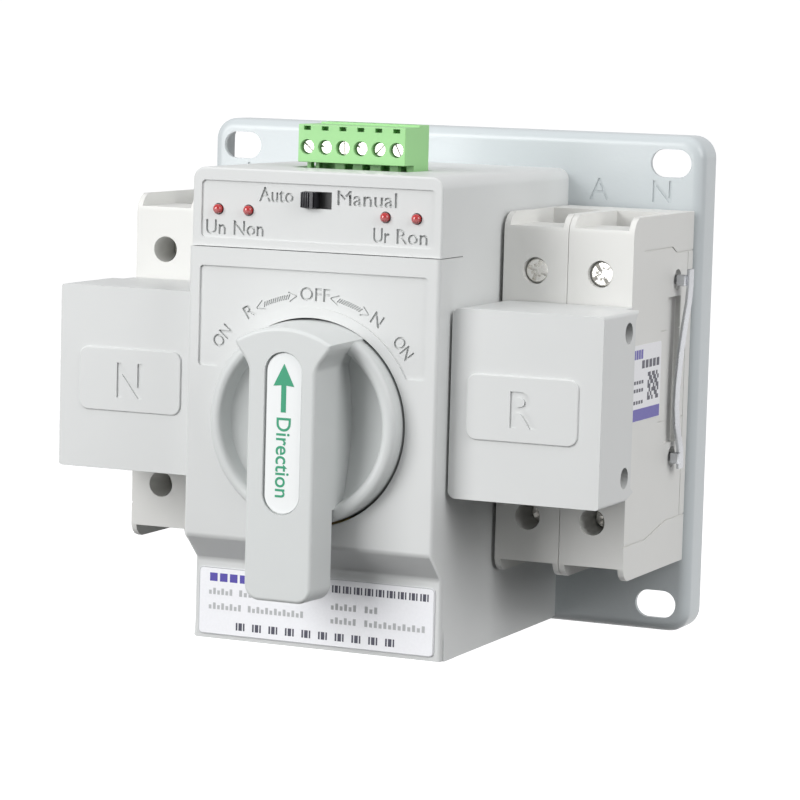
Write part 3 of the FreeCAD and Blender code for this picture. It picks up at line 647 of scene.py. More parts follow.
# %% Mechanism housing
shell_low, shell_high = node_box("mechanism_housing")
cover_low, cover_high = node_box("front_cover")
HOUSING_WALL, SEAM_Z, COVER_REAR = 2.0, 37.2, -83.7
PANEL_DEPTH, LAMP_HOLE = 0.5, 1.5
LAMPS = ("normal_supply", "normal_on", "reserve_on", "reserve_supply")
WINDOW = ((-3.6, 48.05), (4.2, 52.4))
PANEL_LEGENDS = (("Auto", -16.2, -6.4, 51.15), ("Manual", 5.7, 22.3, 51.15),
                 ("Un", -31.3, -25.6, 42.2), ("Non", -23.4, -14.8, 42.2),
                 ("Ur", 15.8, 20.4, 42.2), ("Ron", 22.3, 30.9, 42.2))


def wedge(side, face, flare, top, bottom, span):
    """A thin wedge on a side wall that makes its foot stand out."""
    corners = ((face - 1, top), (face, top), (face + flare, bottom), (face - 1, bottom))
    return outline_prism([(side * across, up) for across, up in corners], "y", span)


def window(front, rear):
    """The selector's opening, as a block from front to rear."""
    (left, low), (right, high) = WINDOW
    return slab((left, front, low), (right, rear, high))


def mechanism_housing():
    shell = slab(shell_low, shell_high)
    round_axis(shell, "y", 3.2, 8, lambda place: place.z > 50)
    round_face(shell, "y", shell_low.y, 0.55, 3)
    for _, side in SIDES:
        shell = weld(shell, wedge(side, shell_high.x, 0.7, -57.5, shell_low.z, (COVER_REAR, -14)))
    wall = HOUSING_WALL
    inside = (shell_high.x - wall, shell_high.z - wall)
    cuts = [
        slab((-50, shell_low.y - 5, shell_low.z - 5), (50, COVER_REAR, SEAM_Z)),
        rounded((-inside[0], shell_low.y + wall, SEAM_Z - 20), (inside[0], 5, inside[1]), "y", 2.5, 4),
        slab((-inside[0], COVER_REAR - 1, shell_low.z + wall), (inside[0], 5, SEAM_Z)),
        rounded((-32.5, shell_low.y - 1, 39.4), (33.0, shell_low.y + PANEL_DEPTH, 54.2), "y", 1.2, 5),
        window(shell_low.y - 1, shell_low.y + 4),
        slab((-16.2, -78.4, 50), (16.6, -61.3, 60)),
    ]
    cuts += [rod("y", sum(node_box(f"lamp_{lamp}"), Vector()) / 2, LAMP_HOLE,
                 (shell_low.y - 1, shell_low.y + 4), 32) for lamp in LAMPS]
    cuts += [slab((side * 34 - 3, -81.3, -12), (side * 34 + 3, -71.8, 12)) for _, side in SIDES]
    for text, left, right, middle_z in PANEL_LEGENDS:
        cuts.append(lettering(text, 3.65, (left + right) / 2, middle_z,
                              shell_low.y + PANEL_DEPTH - 0.2, 0.85, width=right - left, bold=0.014))
    shell = carve(shell, *cuts, crossing=True)
    return publish(shell, "housing_shell", "housing_plastic", "mechanism_housing")


mechanism_housing()

# %% [markdown]
# The front cover is drawn as its side profile, carried across the width. The slope above the
# nameplate is part of that profile. Round the turn handle it has a collar, a sunk upper field and
# the sunk position legends; the hatched arrows between them are rows of short slanted cuts.

# %% Front cover
SHAFT_Z, DIAL_DEPTH, LEGEND_RADIUS, ARROW_RADIUS = -6.4, 0.6, 32.8, 32.4
COLLAR_RADIUS, COVER_HOLE, COVER_WALL, LABEL_FACE = 29.4, 26.8, 2.2, -91.6
DIAL_LEGENDS = (("OFF", 1, 8.4), ("R", -33.5, 2.9), ("N", 33.5, 3.0), ("ON", -51, 6.0), ("ON", 51, 6.0))


def dial_cut(angle, radius, length, width, slant=0.0):
    """A short bar cut in the cover, at an angle round the handle (0 is up, positive to the right)."""
    bar = slab((-length / 2, cover_low.y - 1, -width / 2),
               (length / 2, cover_low.y + DIAL_DEPTH + 0.4, width / 2))
    lean = math.radians(angle)
    return swing(bar, angle + slant,
                 (radius * math.sin(lean), 0, SHAFT_Z + radius * math.cos(lean)))


def dial_arrow(start, end, radius):
    """The cuts of one double-headed arrow: a hatched shaft and two open heads."""
    sign = 1 if end > start else -1
    cuts = []
    angle = start + sign * 4
    while sign * (end - angle) > 3.6:
        cuts.append(dial_cut(angle, radius, 1.4, 0.32, -58))
        angle += sign * 1.15
    for tip, way in ((start, sign), (end, -sign)):
        for lean in (-1, 1):
            cuts.append(dial_cut(tip + way * 1.9, radius + lean * 0.62, 2.6, 0.32, -lean * way * 27))
    return cuts


def front_cover():
    front, label_face, wall = cover_low.y, LABEL_FACE, COVER_WALL
    back = COVER_REAR - 0.2
    profile = [(back, cover_low.z), (back, cover_high.z), (front, cover_high.z),
               (front, -38.2), (label_face, -45), (label_face, cover_low.z)]
    cover = outline_prism(profile, "x", (cover_low.x, cover_high.x))
    bevel(cover, [edge for edge in cover.edges if middle(edge).y < -91 and not runs(edge, "x")
                  and abs(abs(middle(edge).x) - cover_high.x) < 0.01 and middle(edge).z < 36], 1.0, 4)
    bevel(cover, [edge for edge in cover.edges if runs(edge, "x") and -60 < middle(edge).z < -30
                  and middle(edge).y < -91], 0.9, 3)
    for _, side in SIDES:
        cover = weld(cover, wedge(side, cover_high.x, 0.6, -57.5, cover_low.z,
                                  (label_face + 1.4, back)))
    inner = [(COVER_REAR + 1, cover_low.z + wall), (COVER_REAR + 1, cover_high.z - wall),
             (front + wall, cover_high.z - wall), (front + wall, -37.2),
             (label_face + wall, -44), (label_face + wall, cover_low.z + wall)]
    cuts = [outline_prism(inner, "x", (cover_low.x + wall, cover_high.x - wall)),
            rounded((-32.1, front - 1, 6.3), (32.1, front + DIAL_DEPTH, 32.3), "y", 1.0, 4)]
    cover = carve(cover, *cuts)
    collar = rod("y", (0, 0, SHAFT_Z), COLLAR_RADIUS, (front, front + wall), 128)
    cover = weld(cover, collar)
    cuts = [rod("y", (0, 0, SHAFT_Z), COVER_HOLE, (front - 1, front + wall + 1), 128)]
    for text, angle, width in DIAL_LEGENDS:
        lean = math.radians(angle)
        cuts.append(lettering(text, 3.3, LEGEND_RADIUS * math.sin(lean),
                              SHAFT_Z + LEGEND_RADIUS * math.cos(lean),
                              front - 0.2 + DIAL_DEPTH, 0.85, turn=angle, width=width, bold=0.014))
    cuts += dial_arrow(9, 29, ARROW_RADIUS) + dial_arrow(-8, -29, ARROW_RADIUS)
    cover = carve(cover, *cuts, crossing=True)
    return publish(cover, "front_cover_shell", "housing_plastic", "front_cover")


front_cover()

# %% [markdown]
# The turn handle is one moulding: a dished ring with a rolled crest, and a lever across it. The
# ring is a profile turned a full circle; the lever is an outline with a little draft, so that it
# could leave its mould, and its front edge is rounded before the two are joined.

# %% Turn handle
HANDLE_FRONT, LEVER_REAR, LEVER_FOOT, LEVER_HALF, DISH_FLOOR = -115.5, -105.2, -50.5, 9.35, -95.8
HEAD_HALF, HEAD_RADIUS, DRAFT = 13.4, 25.5, 0.95
STRIP_MIDDLE, STRIP_LIFT = 0.45, 0.6


def turned(profile, steps=128):
    """A closed profile of (y, radius) points, turned about the handle's axis."""
    return spun([(radius, along, SHAFT_Z) for along, radius in profile], (0, 0, SHAFT_Z),
                (0, 1, 0), steps, closed=True)


def lever_outline():
    right = arc((LEVER_HALF - 4, LEVER_FOOT + 4), 4, -90, 0, 8)
    right += [(LEVER_HALF, 8.0), (LEVER_HALF + 0.35, 9.2), (LEVER_HALF + 1.15, 10.6),
              (LEVER_HALF + 2.35, 12.2), (LEVER_HALF + 3.6, 13.8)]
    tip = math.degrees(math.acos(HEAD_HALF / HEAD_RADIUS))
    top = arc((0, SHAFT_Z), HEAD_RADIUS, tip, 90, 10)
    right += top[:-1]
    left = [(-across, up) for across, up in reversed(right)]
    return right + [top[-1]] + left


def handle_lever():
    lever = outline_prism(lever_outline(), "y", (HANDLE_FRONT, DISH_FLOOR + 1))
    for vert in lever.verts:
        if vert.co.y > HANDLE_FRONT + 1:
            vert.co.x += math.copysign(min(abs(vert.co.x) / 5, 1) * DRAFT * 1.6, vert.co.x)
            if vert.co.z > SHAFT_Z:
                vert.co.z += DRAFT * 0.9
    round_face(lever, "y", HANDLE_FRONT, 1.0, 4)
    lever = carve(lever, slab((-20, LEVER_REAR, -70), (20, -80, -27.4)))
    return lever


def rotary_handle():
    crest = -104.2
    profile = [(-90, 24.0), (-90, 26.1)]
    profile += [(crest + 2.0, 26.1), (crest + 1.2, 26.0), (crest + 0.55, 25.6), (crest + 0.15, 25.0),
                (crest, 24.2), (crest + 0.1, 23.4), (crest + 0.5, 22.8), (crest + 1.4, 22.3),
                (-99.8, 21.7), (-98.9, 20.2), (-96.6, 12.6), (-96.0, 11.4), (-95.8, 10.4),
                (-95.8, 0.6), (-93.2, 0.6), (-93.2, 12.0), (-97.2, 22.4), (-95.5, 24.0)]
    ring = turned(profile)
    ring = weld(ring, rod("y", (0, 0, SHAFT_Z), 8, (-95, -90), 48))
    handle = weld(ring, handle_lever())
    low, high = node_box("direction_insert")
    pocket = rounded((STRIP_MIDDLE - 5.25, HANDLE_FRONT - 1, low.z + STRIP_LIFT - 0.3),
                     (STRIP_MIDDLE + 5.25, HANDLE_FRONT + 1.2, high.z + STRIP_LIFT + 0.3),
                     "y", 5.24, 12)
    handle = carve(handle, pocket, slab((-3, -104, SHAFT_Z - 3), (3, -80, SHAFT_Z + 3)))
    return publish(handle, "turn_handle_moulding", "handle_plastic", "rotary_handle",
                   body="turn_handle")


rotary_handle()

# %% [markdown]
# A white strip snaps into the lever's groove and covers the fixing screw. Its arrow and its word
# are thin inked shapes that stand a few hundredths of a millimetre proud of the strip.

# %% Direction insert
INK = 0.05


def direction_insert():
    low, high = node_box("direction_insert")
    lift = Vector((0, 0, STRIP_LIFT))
    strip = rounded(Vector((STRIP_MIDDLE - 4.8, low.y, low.z)) + lift,
                    Vector((STRIP_MIDDLE + 4.95, high.y, high.z)) + lift, "y", 4.86, 14)
    round_face(strip, "y", low.y, 0.25, 2)
    publish(strip, "direction_strip", "insert_white", "direction_insert", body="turn_handle")
    face = low.y - INK
    arrow = [(0, 9.4), (-2.9, 3.7), (-0.7, 3.9), (-0.7, -2.9), (0.7, -2.9), (0.7, 3.9), (2.9, 3.7)]
    arrow = [(across + STRIP_MIDDLE, up + STRIP_LIFT) for across, up in arrow]
    inked = together(outline_prism(arrow, "y", (face, low.y + 0.02)),
                     lettering("Direction", 3.9, STRIP_MIDDLE + 0.2, -13.7, face, INK + 0.02, turn=90,
                               width=20.2, bold=0.01))
    publish(inked, "direction_print", "label_white", finish=GREEN_INK, body="turn_handle")


direction_insert()


# %% [markdown]
# The selector is a black knob in a window. Its left half has upright ribs for a fingertip. A black box
# behind the window fills the slot beside the knob. It is painted shade for the dark inside of the slot,
# so no light shows through.

# %% Selector and lamps
def selector():
    low, high = node_box("selector_knob")
    front = low.y
    left, right = low.x + 0.4, low.x + 3.8
    knob = rounded((left, front + 0.55, low.z), (right, high.y, high.z), "y", 0.25, 2)
    ribs = [slab((left + step, front, low.z + 0.15), (left + step + 0.34, front + 1.2, high.z - 0.15))
            for step in (0.05, 0.65, 1.25, 1.85)]
    ribs = [round_face(rib, "y", front, 0.12, 2) for rib in ribs]
    pad = round_face(slab((left + 2.4, front + 0.3, low.z), (right, front + 1.2, high.z)),
                     "y", front + 0.3, 0.12, 2)
    publish(together(soften(knob, 0.1, 1), pad, *ribs), "selector_slider", "black_plastic",
            "selector_knob", body="selector", finish=TOGGLE)
    # Painted shade: a black box lines the window and closes the slot beside the knob, where the inside
    # lies in shade.
    slot_shade_box = slab((-3.9, shell_low.y + 1.2, 47.75), (4.5, -92, 52.85))
    slot_shade_box = carve(slot_shade_box, window(shell_low.y - 1, -95.2))
    publish(slot_shade_box, "selector_liner", "black_plastic")


def lamp(name):
    """A lamp: a turned body with a domed end, and a narrow black ring in the gap round it as painted
    shade.
    """
    low, high = node_box(name)
    centre, radius, base = (low + high) / 2, 1.26, shell_low.y + PANEL_DEPTH
    dome = [(-91.8, 0), (-91.8, radius), (base - 0.4, radius)]
    dome += [(base - 0.4 - radius * 0.92 * math.sin(math.radians(turn)),
              radius * math.cos(math.radians(turn))) for turn in range(15, 90, 15)]
    tip = base - 0.4 - radius * 0.92
    dome.append((tip, 0))
    mesh = spun([(centre.x + across, along, centre.z) for along, across in dome], centre,
                (0, 1, 0), 32)
    publish(mesh, name + "_dome", "lamp_red", name)
    # Painted shade: a black ring fills the gap between the dome and its hole, where shade falls.
    ring = rod("y", centre, 1.49, (base - 0.02, base + 2.5), 32)
    publish(carve(ring, rod("y", centre, 1.28, (shell_low.y - 1, shell_low.y + 4), 32)),
            name + "_grommet", "black_plastic")


selector()
for lamp_name in LAMPS:
    lamp(f"lamp_{lamp_name}")

# %% [markdown]
# The control plug has six round wells with a slotted screw in each, a small test window above
# each well, and funnels for the wires on top. Below it, a comb of posts enters the header, whose
# rear wall stands up behind the posts.

# %% Control plug
PLUG_PITCH, PLUG_SCREW_Z = 5.08, 62.9
WAYS = [PLUG_PITCH * (step - 2.5) for step in range(6)]


def control_plug():
    front, rear, low, high = -77.0, -61.6, 58.9, 69.3
    half = 15.24
    block = slab((-half, front, low), (half, rear, high - 0.55))
    block = soften(block, 0.22, 2)
    ridge = slab((-half + 2.2, rear + 0.4 - 6.8, high - 0.9), (half - 0.01, rear, high))
    ridge = soften(ridge, 0.25, 2)
    tongue = slab((-half + 1.3, front + 8.4, 50.6), (half - 1.3, rear - 1.3, low + 0.5))
    skirt = slab((half - 2.2, front + 6.0, 55.5), (half, rear, low + 0.5))
    block = weld(block, ridge, tongue, soften(skirt, 0.15, 1))
    posts = [soften(slab((across - width, front + 4.2, 55.5), (across + width, front + 6.2, low + 0.3)),
                    0.12, 1) for across, width in
             ((-13.9, 0.6), (-11.5, 0.55), (-5.08, 1.45), (0, 1.45), (5.08, 1.6), (10.3, 1.25))]
    cuts = []
    for across in WAYS:
        cuts.append(rod("y", (across, 0, PLUG_SCREW_Z), 1.95, (front - 1, front + 5), 40))
        cuts.append(slab((across - 1.0, front - 1, high - 2.05),
                         (across + 1.0, front + 2.2, high - 0.95)))
        cuts.append(slab((across - 1.8, rear - 6.2, high - 7), (across + 1.8, rear - 3, high + 1)))
    block = weld(carve(block, *cuts), *posts)
    publish(block, "plug_moulding", "terminal_green", "terminal_plug", body="control_plug")
    heads = []
    for across, lean in zip(WAYS, (40, 12, 84, 30, -48, 64)):
        head = rod("y", (across, 0, PLUG_SCREW_Z), 1.82, (front + 1.3, front + 5), 40)
        round_face(head, "y", front + 1.3, 0.3, 2)
        slot = slab((-2.4, front, -0.27), (2.4, front + 2.1, 0.27))
        heads.append(carve(head, swing(slot, lean, (across, 0, PLUG_SCREW_Z))))
    publish(together(*heads), "plug_screws", "nickel_steel", "terminal_plug_screws",
            body="control_plug")


def terminal_header():
    low, high = node_box("terminal_header")
    shell = slab((low.x, low.y, low.z), (high.x, high.y, 56.0))
    shell = carve(shell, slab((low.x + 1, low.y + 1, 48), (high.x - 1, high.y - 1, 60)))
    pins = [slab((across - 0.5, -69.8, 46), (across + 0.5, -68.8, 57)) for across in WAYS]
    publish(together(soften(shell, 0.12, 1), *pins), "header_moulding", "terminal_green",
            "terminal_header")


control_plug()
terminal_header()

# %% [markdown]
# The nameplate is a thin rounded foil with a fine dark frame. It carries no words: only plain
# blocks and bars where a rating plate has its lines of print.

# %% Nameplate
def bar(left, right, low, high, front, thick=0.06):
    return slab((left, front, low), (right, front + thick, high))


def frame_line(left, right, low, high, corner, width, front, thick):
    outer = rounded((left, front, low), (right, front + thick, high), "y", corner, 4)
    inner = rounded((left + width, front - 1, low + width), (right - width, front + 1, high - width),
                    "y", max(corner - width, 0.1), 4)
    return carve(outer, inner)


def nameplate():
    low, high = node_box("nameplate")
    foil = rounded(low, high, "y", 1.2, 4)
    round_face(foil, "y", low.y, 0.1, 1)
    publish(foil, "nameplate_foil", "label_silver", "nameplate")
    front = low.y - 0.03
    publish(frame_line(low.x + 0.1, high.x - 0.1, low.z + 0.1, high.z - 0.1, 1.1, 0.16, front, 0.05),
            "nameplate_frame", "label_silver", finish=GREY_INK)
    violet = [bar(-30.6 + 2.9 * step, -28.4 + 2.9 * step, -50.9, -48.7, front) for step in range(4)]
    publish(together(*violet), "nameplate_mark", "label_silver", finish=VIOLET_INK)
    black, grey = [], []
    for step in range(10):
        for shift, wide in ((0, 0.5), (0.8, 1.0), (2.1, 0.45)):
            left = -22.8 + 4.75 * step + shift
            black.append(bar(left, left + wide, -63.4, -61.4, front))
    for step in range(9):
        for shift, wide in ((0, 0.45), (0.75, 0.9), (1.95, 0.4)):
            left = 4.6 + 3.1 * step + shift
            black.append(bar(left, left + wide, -50.8, -48.9, front))
    for left, right, middle_z in ((-30.8, -23.6, -53.7), (-22.0, -12.5, -53.7), (-30.8, -21.0, -57.6),
                                  (-19.4, -3.0, -57.6), (4.4, 12.0, -54.6), (14.0, 18.0, -54.6),
                                  (4.4, 12.0, -58.2), (14.0, 31.4, -58.2)):
        count = max(3, round((right - left) / 1.3))
        pitch = (right - left) / count
        for step in range(count):
            place, tall = left + pitch * step, 0.55 + 0.3 * ((3 * step + count) % 2)
            foot = middle_z - 0.7
            grey.append(bar(place, place + pitch * 0.62, foot, foot + 2 * tall, front))
    publish(together(*black), "nameplate_lines_bold", "label_silver", finish=DARK_INK)
    publish(together(*grey), "nameplate_lines_fine", "label_silver", finish=GREY_INK)


nameplate()

# %% [markdown]
# Each linkage cover is a hollow box with well rounded front edges, closed in front, above and
# below. Its sides are cut back to clear the breaker, and the outer one has two round holes. Its
# badge is a raised pad with a sunk letter, N for the normal supply and R for the reserve.

# %% Linkage covers
COVER_TEXT = {"normal": "N", "reserve": "R"}
SIDE_CUT = ((-65.0, 32), (-65.0, 24.6), (-67.2, 23.7), (-68.6, 22), (-68.6, -20.6), (-66.4, -21.8),
            (-73.7, -24.3), (-73.7, -32), (-50, -32), (-50, 32))
HOLE_PLACES = ((-73.4, 19.3), (-73.4, -17.6))


def linkage_cover(name, side):
    low, high = node_box(f"{name}_linkage_cover")
    front, rear = low.y + 0.5, high.y
    outer = slab((low.x, front, low.z), (high.x, rear, high.z))
    for axis, inner_radius in (("y", 2.2), ("z", 3.2)):
        round_axis(outer, axis, 0.9, 3, lambda place: abs(place.x) > 60)
        round_axis(outer, axis, inner_radius, 6, lambda place: abs(place.x) < 50)
    for radius, sign in ((2.2, 1), (1.3, -1)):
        bevel(outer, [edge for edge in outer.edges if runs(edge, "x") and middle(edge).z * sign > 0
                      and middle(edge).y < front + 0.01], radius, 5)
    wall = 2.0
    near, far = 35.9, 76.66
    x0, x1 = span_of(side, near + wall, far - wall)
    cuts = [rounded((x0, front + wall, low.z + wall - 0.6), (x1, rear + 1, high.z - wall + 0.6),
                    "y", 1.5, 3)]
    x0, x1 = span_of(side, far - wall - 2.2, far + 1)
    cuts.append(outline_prism(SIDE_CUT, "x", (x0, x1)))
    cuts += [rod("x", (0, *place), 2.75, (x0, x1), 40) for place in HOLE_PLACES]
    x0, x1 = span_of(side, near - 1, near + wall + 0.1)
    cuts.append(slab((x0, -72.3, low.z + wall - 0.6), (x1, rear + 1, high.z - wall + 0.6)))
    cuts.append(slab((x0, -81.3, -12), (x1, -71.5, 12)))
    badge_low, badge_high = span_of(side, 40.5, 70.6)
    badge = rounded((badge_low, low.y, -8.3), (badge_high, front + 0.6, 8.5), "y", 2.6, 6)
    round_face(badge, "y", low.y, 0.35, 3)
    shell = weld(carve(outer, *cuts), badge)
    letter = lettering(COVER_TEXT[name], 9.0, (badge_low + badge_high) / 2, 0.1, low.y - 0.3, 0.75,
                       width=7.6, bold=0.02)
    shell = carve(shell, letter, crossing=True)
    return publish(shell, f"{name}_linkage_shell", "housing_plastic", f"{name}_linkage_cover")


for side_name, side in SIDES:
    linkage_cover(side_name, side)

# %% [markdown]
# A pole case is drawn from the side: shoulder, nose and foot in one outline. Its two side walls
# stand higher than the front wall between them at each end, which is where the conductors enter.
# The outer case of each breaker shows the parting lines, the rivet wells and a shallow recess
# that the retaining clip bows into.

# %% Pole cases
SHOULDER, POLE_REAR, POLE_LOW, POLE_HIGH = -58.9, -12.0, -46.9, 47.6
POLE_MIDDLE, POLE_PITCH, POLE_HALF = 45, 18, 8.97
NOSE_FRONT, NOSE_LOW, NOSE_HIGH = -72.0, -22.2, 22.8
TERMINAL_TOP, TERMINAL_FOOT = 32.7, -31.7
RIVETS = ((-60.5, 18.3), (-60.5, -18.3), (-23.9, 29.9), (-23.9, -17.5))


def pole_case(side, pole, node):
    centre = side * (POLE_MIDDLE + POLE_PITCH * pole)
    profile = [(POLE_REAR, POLE_LOW), (POLE_REAR, POLE_HIGH)]
    profile += [(-55.2, POLE_HIGH), (-57.2, POLE_HIGH - 1.1), (-58.5, POLE_HIGH - 2.8),
                (SHOULDER, POLE_HIGH - 4.6)]
    profile += [(SHOULDER, NOSE_HIGH), (NOSE_FRONT + 1.5, NOSE_HIGH), (NOSE_FRONT, NOSE_HIGH - 1.5),
                (NOSE_FRONT, NOSE_LOW + 1.5), (NOSE_FRONT + 1.5, NOSE_LOW), (SHOULDER, NOSE_LOW)]
    profile += [(SHOULDER, POLE_LOW + 3.6), (-58.2, POLE_LOW + 1.8), (-56.9, POLE_LOW + 0.6),
                (-55.2, POLE_LOW)]
    case = outline_prism(profile, "x", (centre - POLE_HALF, centre + POLE_HALF))
    soften(case, 0.18, 2, 60)
    for low, high in ((-46, -36), (36, 46)):
        case = weld(case, slab((centre - 7, POLE_REAR - 1, low), (centre + 7, -10.5, high)))
    inner = 7.4
    cuts = []
    for end, sign, terminal in ((POLE_HIGH, 1, TERMINAL_TOP), (POLE_LOW, -1, TERMINAL_FOOT)):
        step, entry, cage = end - sign * 3.4, end - sign * 11.6, terminal - sign * 5.5
        for start, front, rear in ((step, SHOULDER - 1, -39.5), (entry, -39.5, -28.6),
                                   (cage, -39.5, -27.7)):
            low, high = sorted((start, end + sign))
            cuts.append(slab((centre - inner, front, low), (centre + inner, rear, high)))
        cuts.append(rod("y", (centre, 0, terminal), 3.5, (SHOULDER - 1, -38), 48))
    cuts.append(slab((centre - inner, NOSE_FRONT + 1.5, -20.7), (centre + inner, -19, 21.2)))
    cuts.append(slab((centre - 4, NOSE_FRONT - 1, -9), (centre + 4, NOSE_FRONT + 3, 9)))
    if pole == 1:
        face = centre + side * POLE_HALF
        left, right = span_of(side, abs(face) - 1.4, abs(face) + 1)
        cuts.append(slab((left, -31, -13.5), (right, -21, 25.5)))
        for along, up in RIVETS:
            cuts.append(rod("x", (0, along, up), 2.8,
                            span_of(side, abs(face) - 1.2, abs(face) + 1), 40))
        depth = (face - 0.35, face + 0.35)
        lines = [[(-50.5, 38.9), (-50.5, 38.5), (-28.9, 38.5), (-25.6, 37.0), (POLE_REAR + 1, 37.0),
                  (POLE_REAR + 1, 37.4), (-25.5, 37.4), (-28.8, 38.9)],
                 [(SHOULDER - 1, -37.2), (SHOULDER - 1, -37.6), (-43.0, -37.6), (-27.0, -34.4),
                  (POLE_REAR + 1, -34.4), (POLE_REAR + 1, -34.0), (-27.1, -34.0), (-43.1, -37.2)],
                 [(-36, 17.1), (-36, 16.8), (-16, 16.8), (-16, 17.1)],
                 [(-36, -7.0), (-36, -7.3), (-16, -7.3), (-16, -7.0)],
                 [(-16.3, 37.2), (-16.3, -34.2), (-15.9, -34.2), (-15.9, 37.2)]]
        cuts += [outline_prism(line, "x", depth) for line in lines]
    case = carve(case, *cuts)
    return publish(case, f"{node}_shell", "breaker_plastic", node)


for side_name, side in SIDES:
    pole_case(side, 0, f"{side_name}_inner_pole_case")
    pole_case(side, 1, f"{side_name}_outer_pole_case")

# %% [markdown]
# The clamp screws have a recess that takes a flat or a cross driver. They are turned bodies with
# a rounded rim, and each one has stopped at a different angle, as screws do.

# %% Terminal screws
def terminal_screw(centre, height, head, lean):
    body = rod("y", (centre, 0, height), 3.3, (head, head + 2.4), 48)
    round_face(body, "y", head, 0.55, 3)
    shank = rod("y", (centre, 0, height), 2.4, (head + 2.2, -33), 32)
    cuts = []
    for turn, half, length, depth in ((0, 0.55, 2.75, 1.6), (90, 0.55, 2.75, 1.6),
                                      (45, 0.35, 1.8, 1.1), (135, 0.35, 1.8, 1.1)):
        slot = slab((-length, head - 1, -half), (length, head + depth, half))
        cuts.append(swing(slot, turn + lean, (centre, 0, height)))
    return together(carve(body, *cuts), shank)


def terminal_screws(name, side):
    parts = []
    for pole in (0, 1):
        centre = side * (POLE_MIDDLE + POLE_PITCH * pole)
        for top, height, lean in ((True, TERMINAL_TOP, 20 + 37 * pole),
                                  (False, TERMINAL_FOOT, 62 - 25 * pole)):
            depth = 1.6 if side > 0 and top else 11
            parts.append(terminal_screw(centre, height, SHOULDER + depth, lean))
    publish(together(*parts), f"{name}_screw_heads", "nickel_steel", f"{name}_terminal_screws")


for side_name, side in SIDES:
    terminal_screws(side_name, side)

# %% [markdown]
# Down each outer case runs a bright spring strip that holds the poles together. It is a bent
# strip, bowed towards the case, with a formed pin into each rear well.

# %% Retaining clips and rivets
CLIP_BOW = ((32.9, 0), (28, 0), (24, 0.25), (18, 1.1), (10, 2.0), (2, 2.6), (-4, 2.75), (-9, 2.4),
            (-12.5, 1.7), (-15, 1.2), (-20.5, 1.0))


def strip_outline(face):
    near = [(face - inwards, up) for up, inwards in CLIP_BOW]
    return near + [(across - 0.9, up) for across, up in reversed(near)]


def retaining_clip(name, side):
    low, high = RIVETS[3][1], RIVETS[2][1]
    face, along = 71.9 + 4, -23.9
    outline = [(side * across, up) for across, up in strip_outline(face)]
    strip = outline_prism(outline, "y", (along - 1.8, along + 1.8))
    soften(strip, 0.22, 2, 40)
    pins = []
    for up in (low, high):
        pins.append(rod("x", (0, along, up), 1.3, span_of(side, 64, face - 1.2), 28))
        left, right = span_of(side, face - 3.2, face - 0.7)
        pins.append(soften(slab((left, along - 3.4, up - 1.5), (right, along - 1.2, up + 1.5)), 0.4, 2))
    publish(together(strip, *pins), f"{name}_spring_clip", "spring_steel",
            f"{name}_retaining_clip")
    rivets = []
    for up in (18.3, -18.3):
        rivets.append(rod("x", (0, -60.5, up), 1.5, span_of(side, 36.1, 70.7), 28))
        head = rod("x", (0, -60.5, up), 2.4, span_of(side, 70.7, 71.2), 36)
        round_face(head, "x", side * 71.2, 0.2, 2)
        rivets.append(head)
    publish(together(*rivets), f"{name}_rivets", "brass_metal", f"{name}_case_rivets")


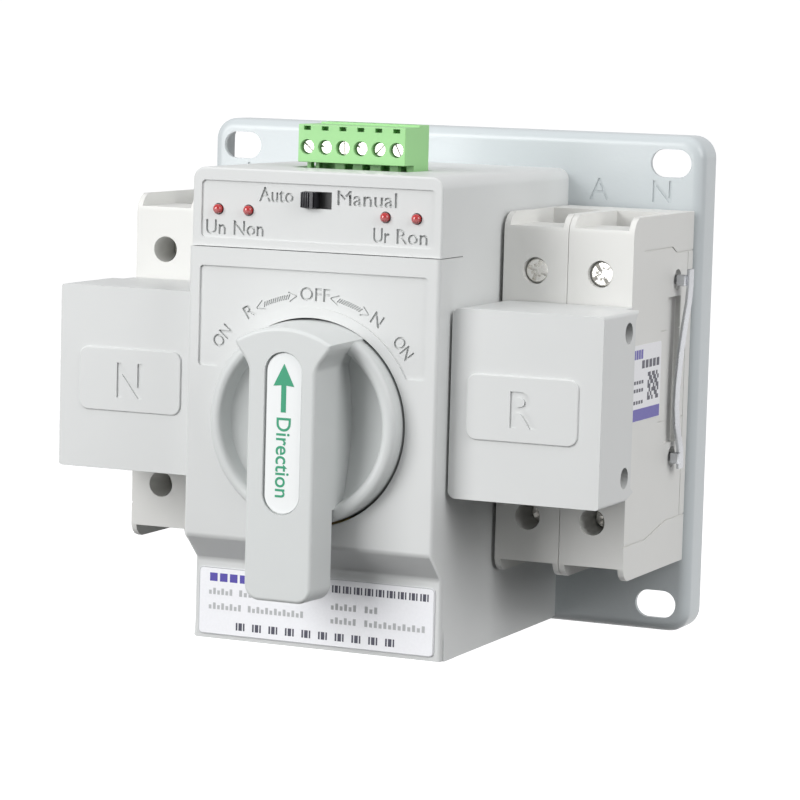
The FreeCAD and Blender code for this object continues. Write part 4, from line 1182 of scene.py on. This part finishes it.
def breaker_label(name, side):
    low, high = node_box(f"{name}_breaker_label")
    film = rounded((low.x, low.y, low.z + 2.6), (high.x, high.y, high.z), "x", 0.8, 4)
    publish(film, f"{name}_label_film", "label_white", f"{name}_breaker_label")
    outer = side * 72.05

    def mark(front, rear, foot, top, lift=0.03):
        x0, x1 = sorted((outer - side * 0.02, outer + side * lift))
        return slab((x0, front, foot), (x1, rear, top))

    violet = [mark(-56.9, -35.5, -5.3, -2.2)]
    violet += [mark(-56.2 + 1.8 * step, -54.8 + 1.8 * step, 10.8, 13.2) for step in range(4)]
    publish(together(*violet), f"{name}_label_band", "label_white", finish=VIOLET_INK)
    dark = [mark(-49.9 + 2.8 * step, -47.9 + 2.8 * step, 8.2, 10.3) for step in range(5)]
    dark += [mark(-55.6 + 1.9 * step, -54.3 + 1.9 * step, foot, foot + 0.9)
             for foot in (4.3, 2.2, -0.9) for step in range(4)]
    rows = ("11011010", "01101101", "10110110", "11001011", "01011101", "10100110", "11010011")
    dark += [mark(-45.2 + 1.05 * column, -44.1 + 1.05 * column, 5.9 - 1.05 * line, 6.95 - 1.05 * line)
             for line, row in enumerate(rows) for column, cell in enumerate(row) if cell == "1"]
    publish(together(*dark), f"{name}_label_print", "label_white", finish=DARK_INK)


for side_name, side in SIDES:
    retaining_clip(side_name, side)
    breaker_label(side_name, side)

# %% [markdown]
# The parts inside the housing and the breakers keep their engineering shapes. They only get
# their materials, so that they look right through an open window or when a cover is hidden.

# %% Inner parts
slot_of = {part["node"]: part["material_slot"] for part in frame["record"]["subparts"]}
for node_name, node in frame["nodes"].items():
    for slot in node.material_slots:
        slot.material = FINISH_OF[slot_of[node_name]]
print("inner parts dressed:", len(frame["nodes"]))

# %% [markdown]
# The stage is a wide pale floor whose rim curves up all round, like a studio sweep, so that no
# horizon shows from any side. It is hidden from diffuse rays, because a floor this large would
# light every underside. It is marked as stage and never becomes part of the object.

# %% Floor and hand-over
def studio_floor():
    drop = cad_box[0][2] - 0.2
    rim = [(0, drop), (20, drop)] + [(20 + 8 * math.sin(math.radians(turn)),
                                      drop + 8 - 8 * math.cos(math.radians(turn)))
                                     for turn in range(15, 91, 15)]
    mesh = spun([(across, 0, up) for across, up in rim], (0, 0, 0), (0, 0, 1), 64)
    for face in mesh.faces:
        face.smooth = True
    floor = as_object(mesh, "floor")
    floor.data.materials.append(FLOOR)
    floor.visible_diffuse = False
    floor.visible_shadow = False
    floor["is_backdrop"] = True
    print("floor lies", round((cad_box[0][2] - drop) / MM), "mm below the switch")


studio_floor()
visual_box = [list(corner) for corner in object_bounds()]
for label, box in (("CAD box, mm", cad_box), ("visual box, mm", visual_box)):
    print(label, [[round(value / MM, 2) for value in corner] for corner in box])
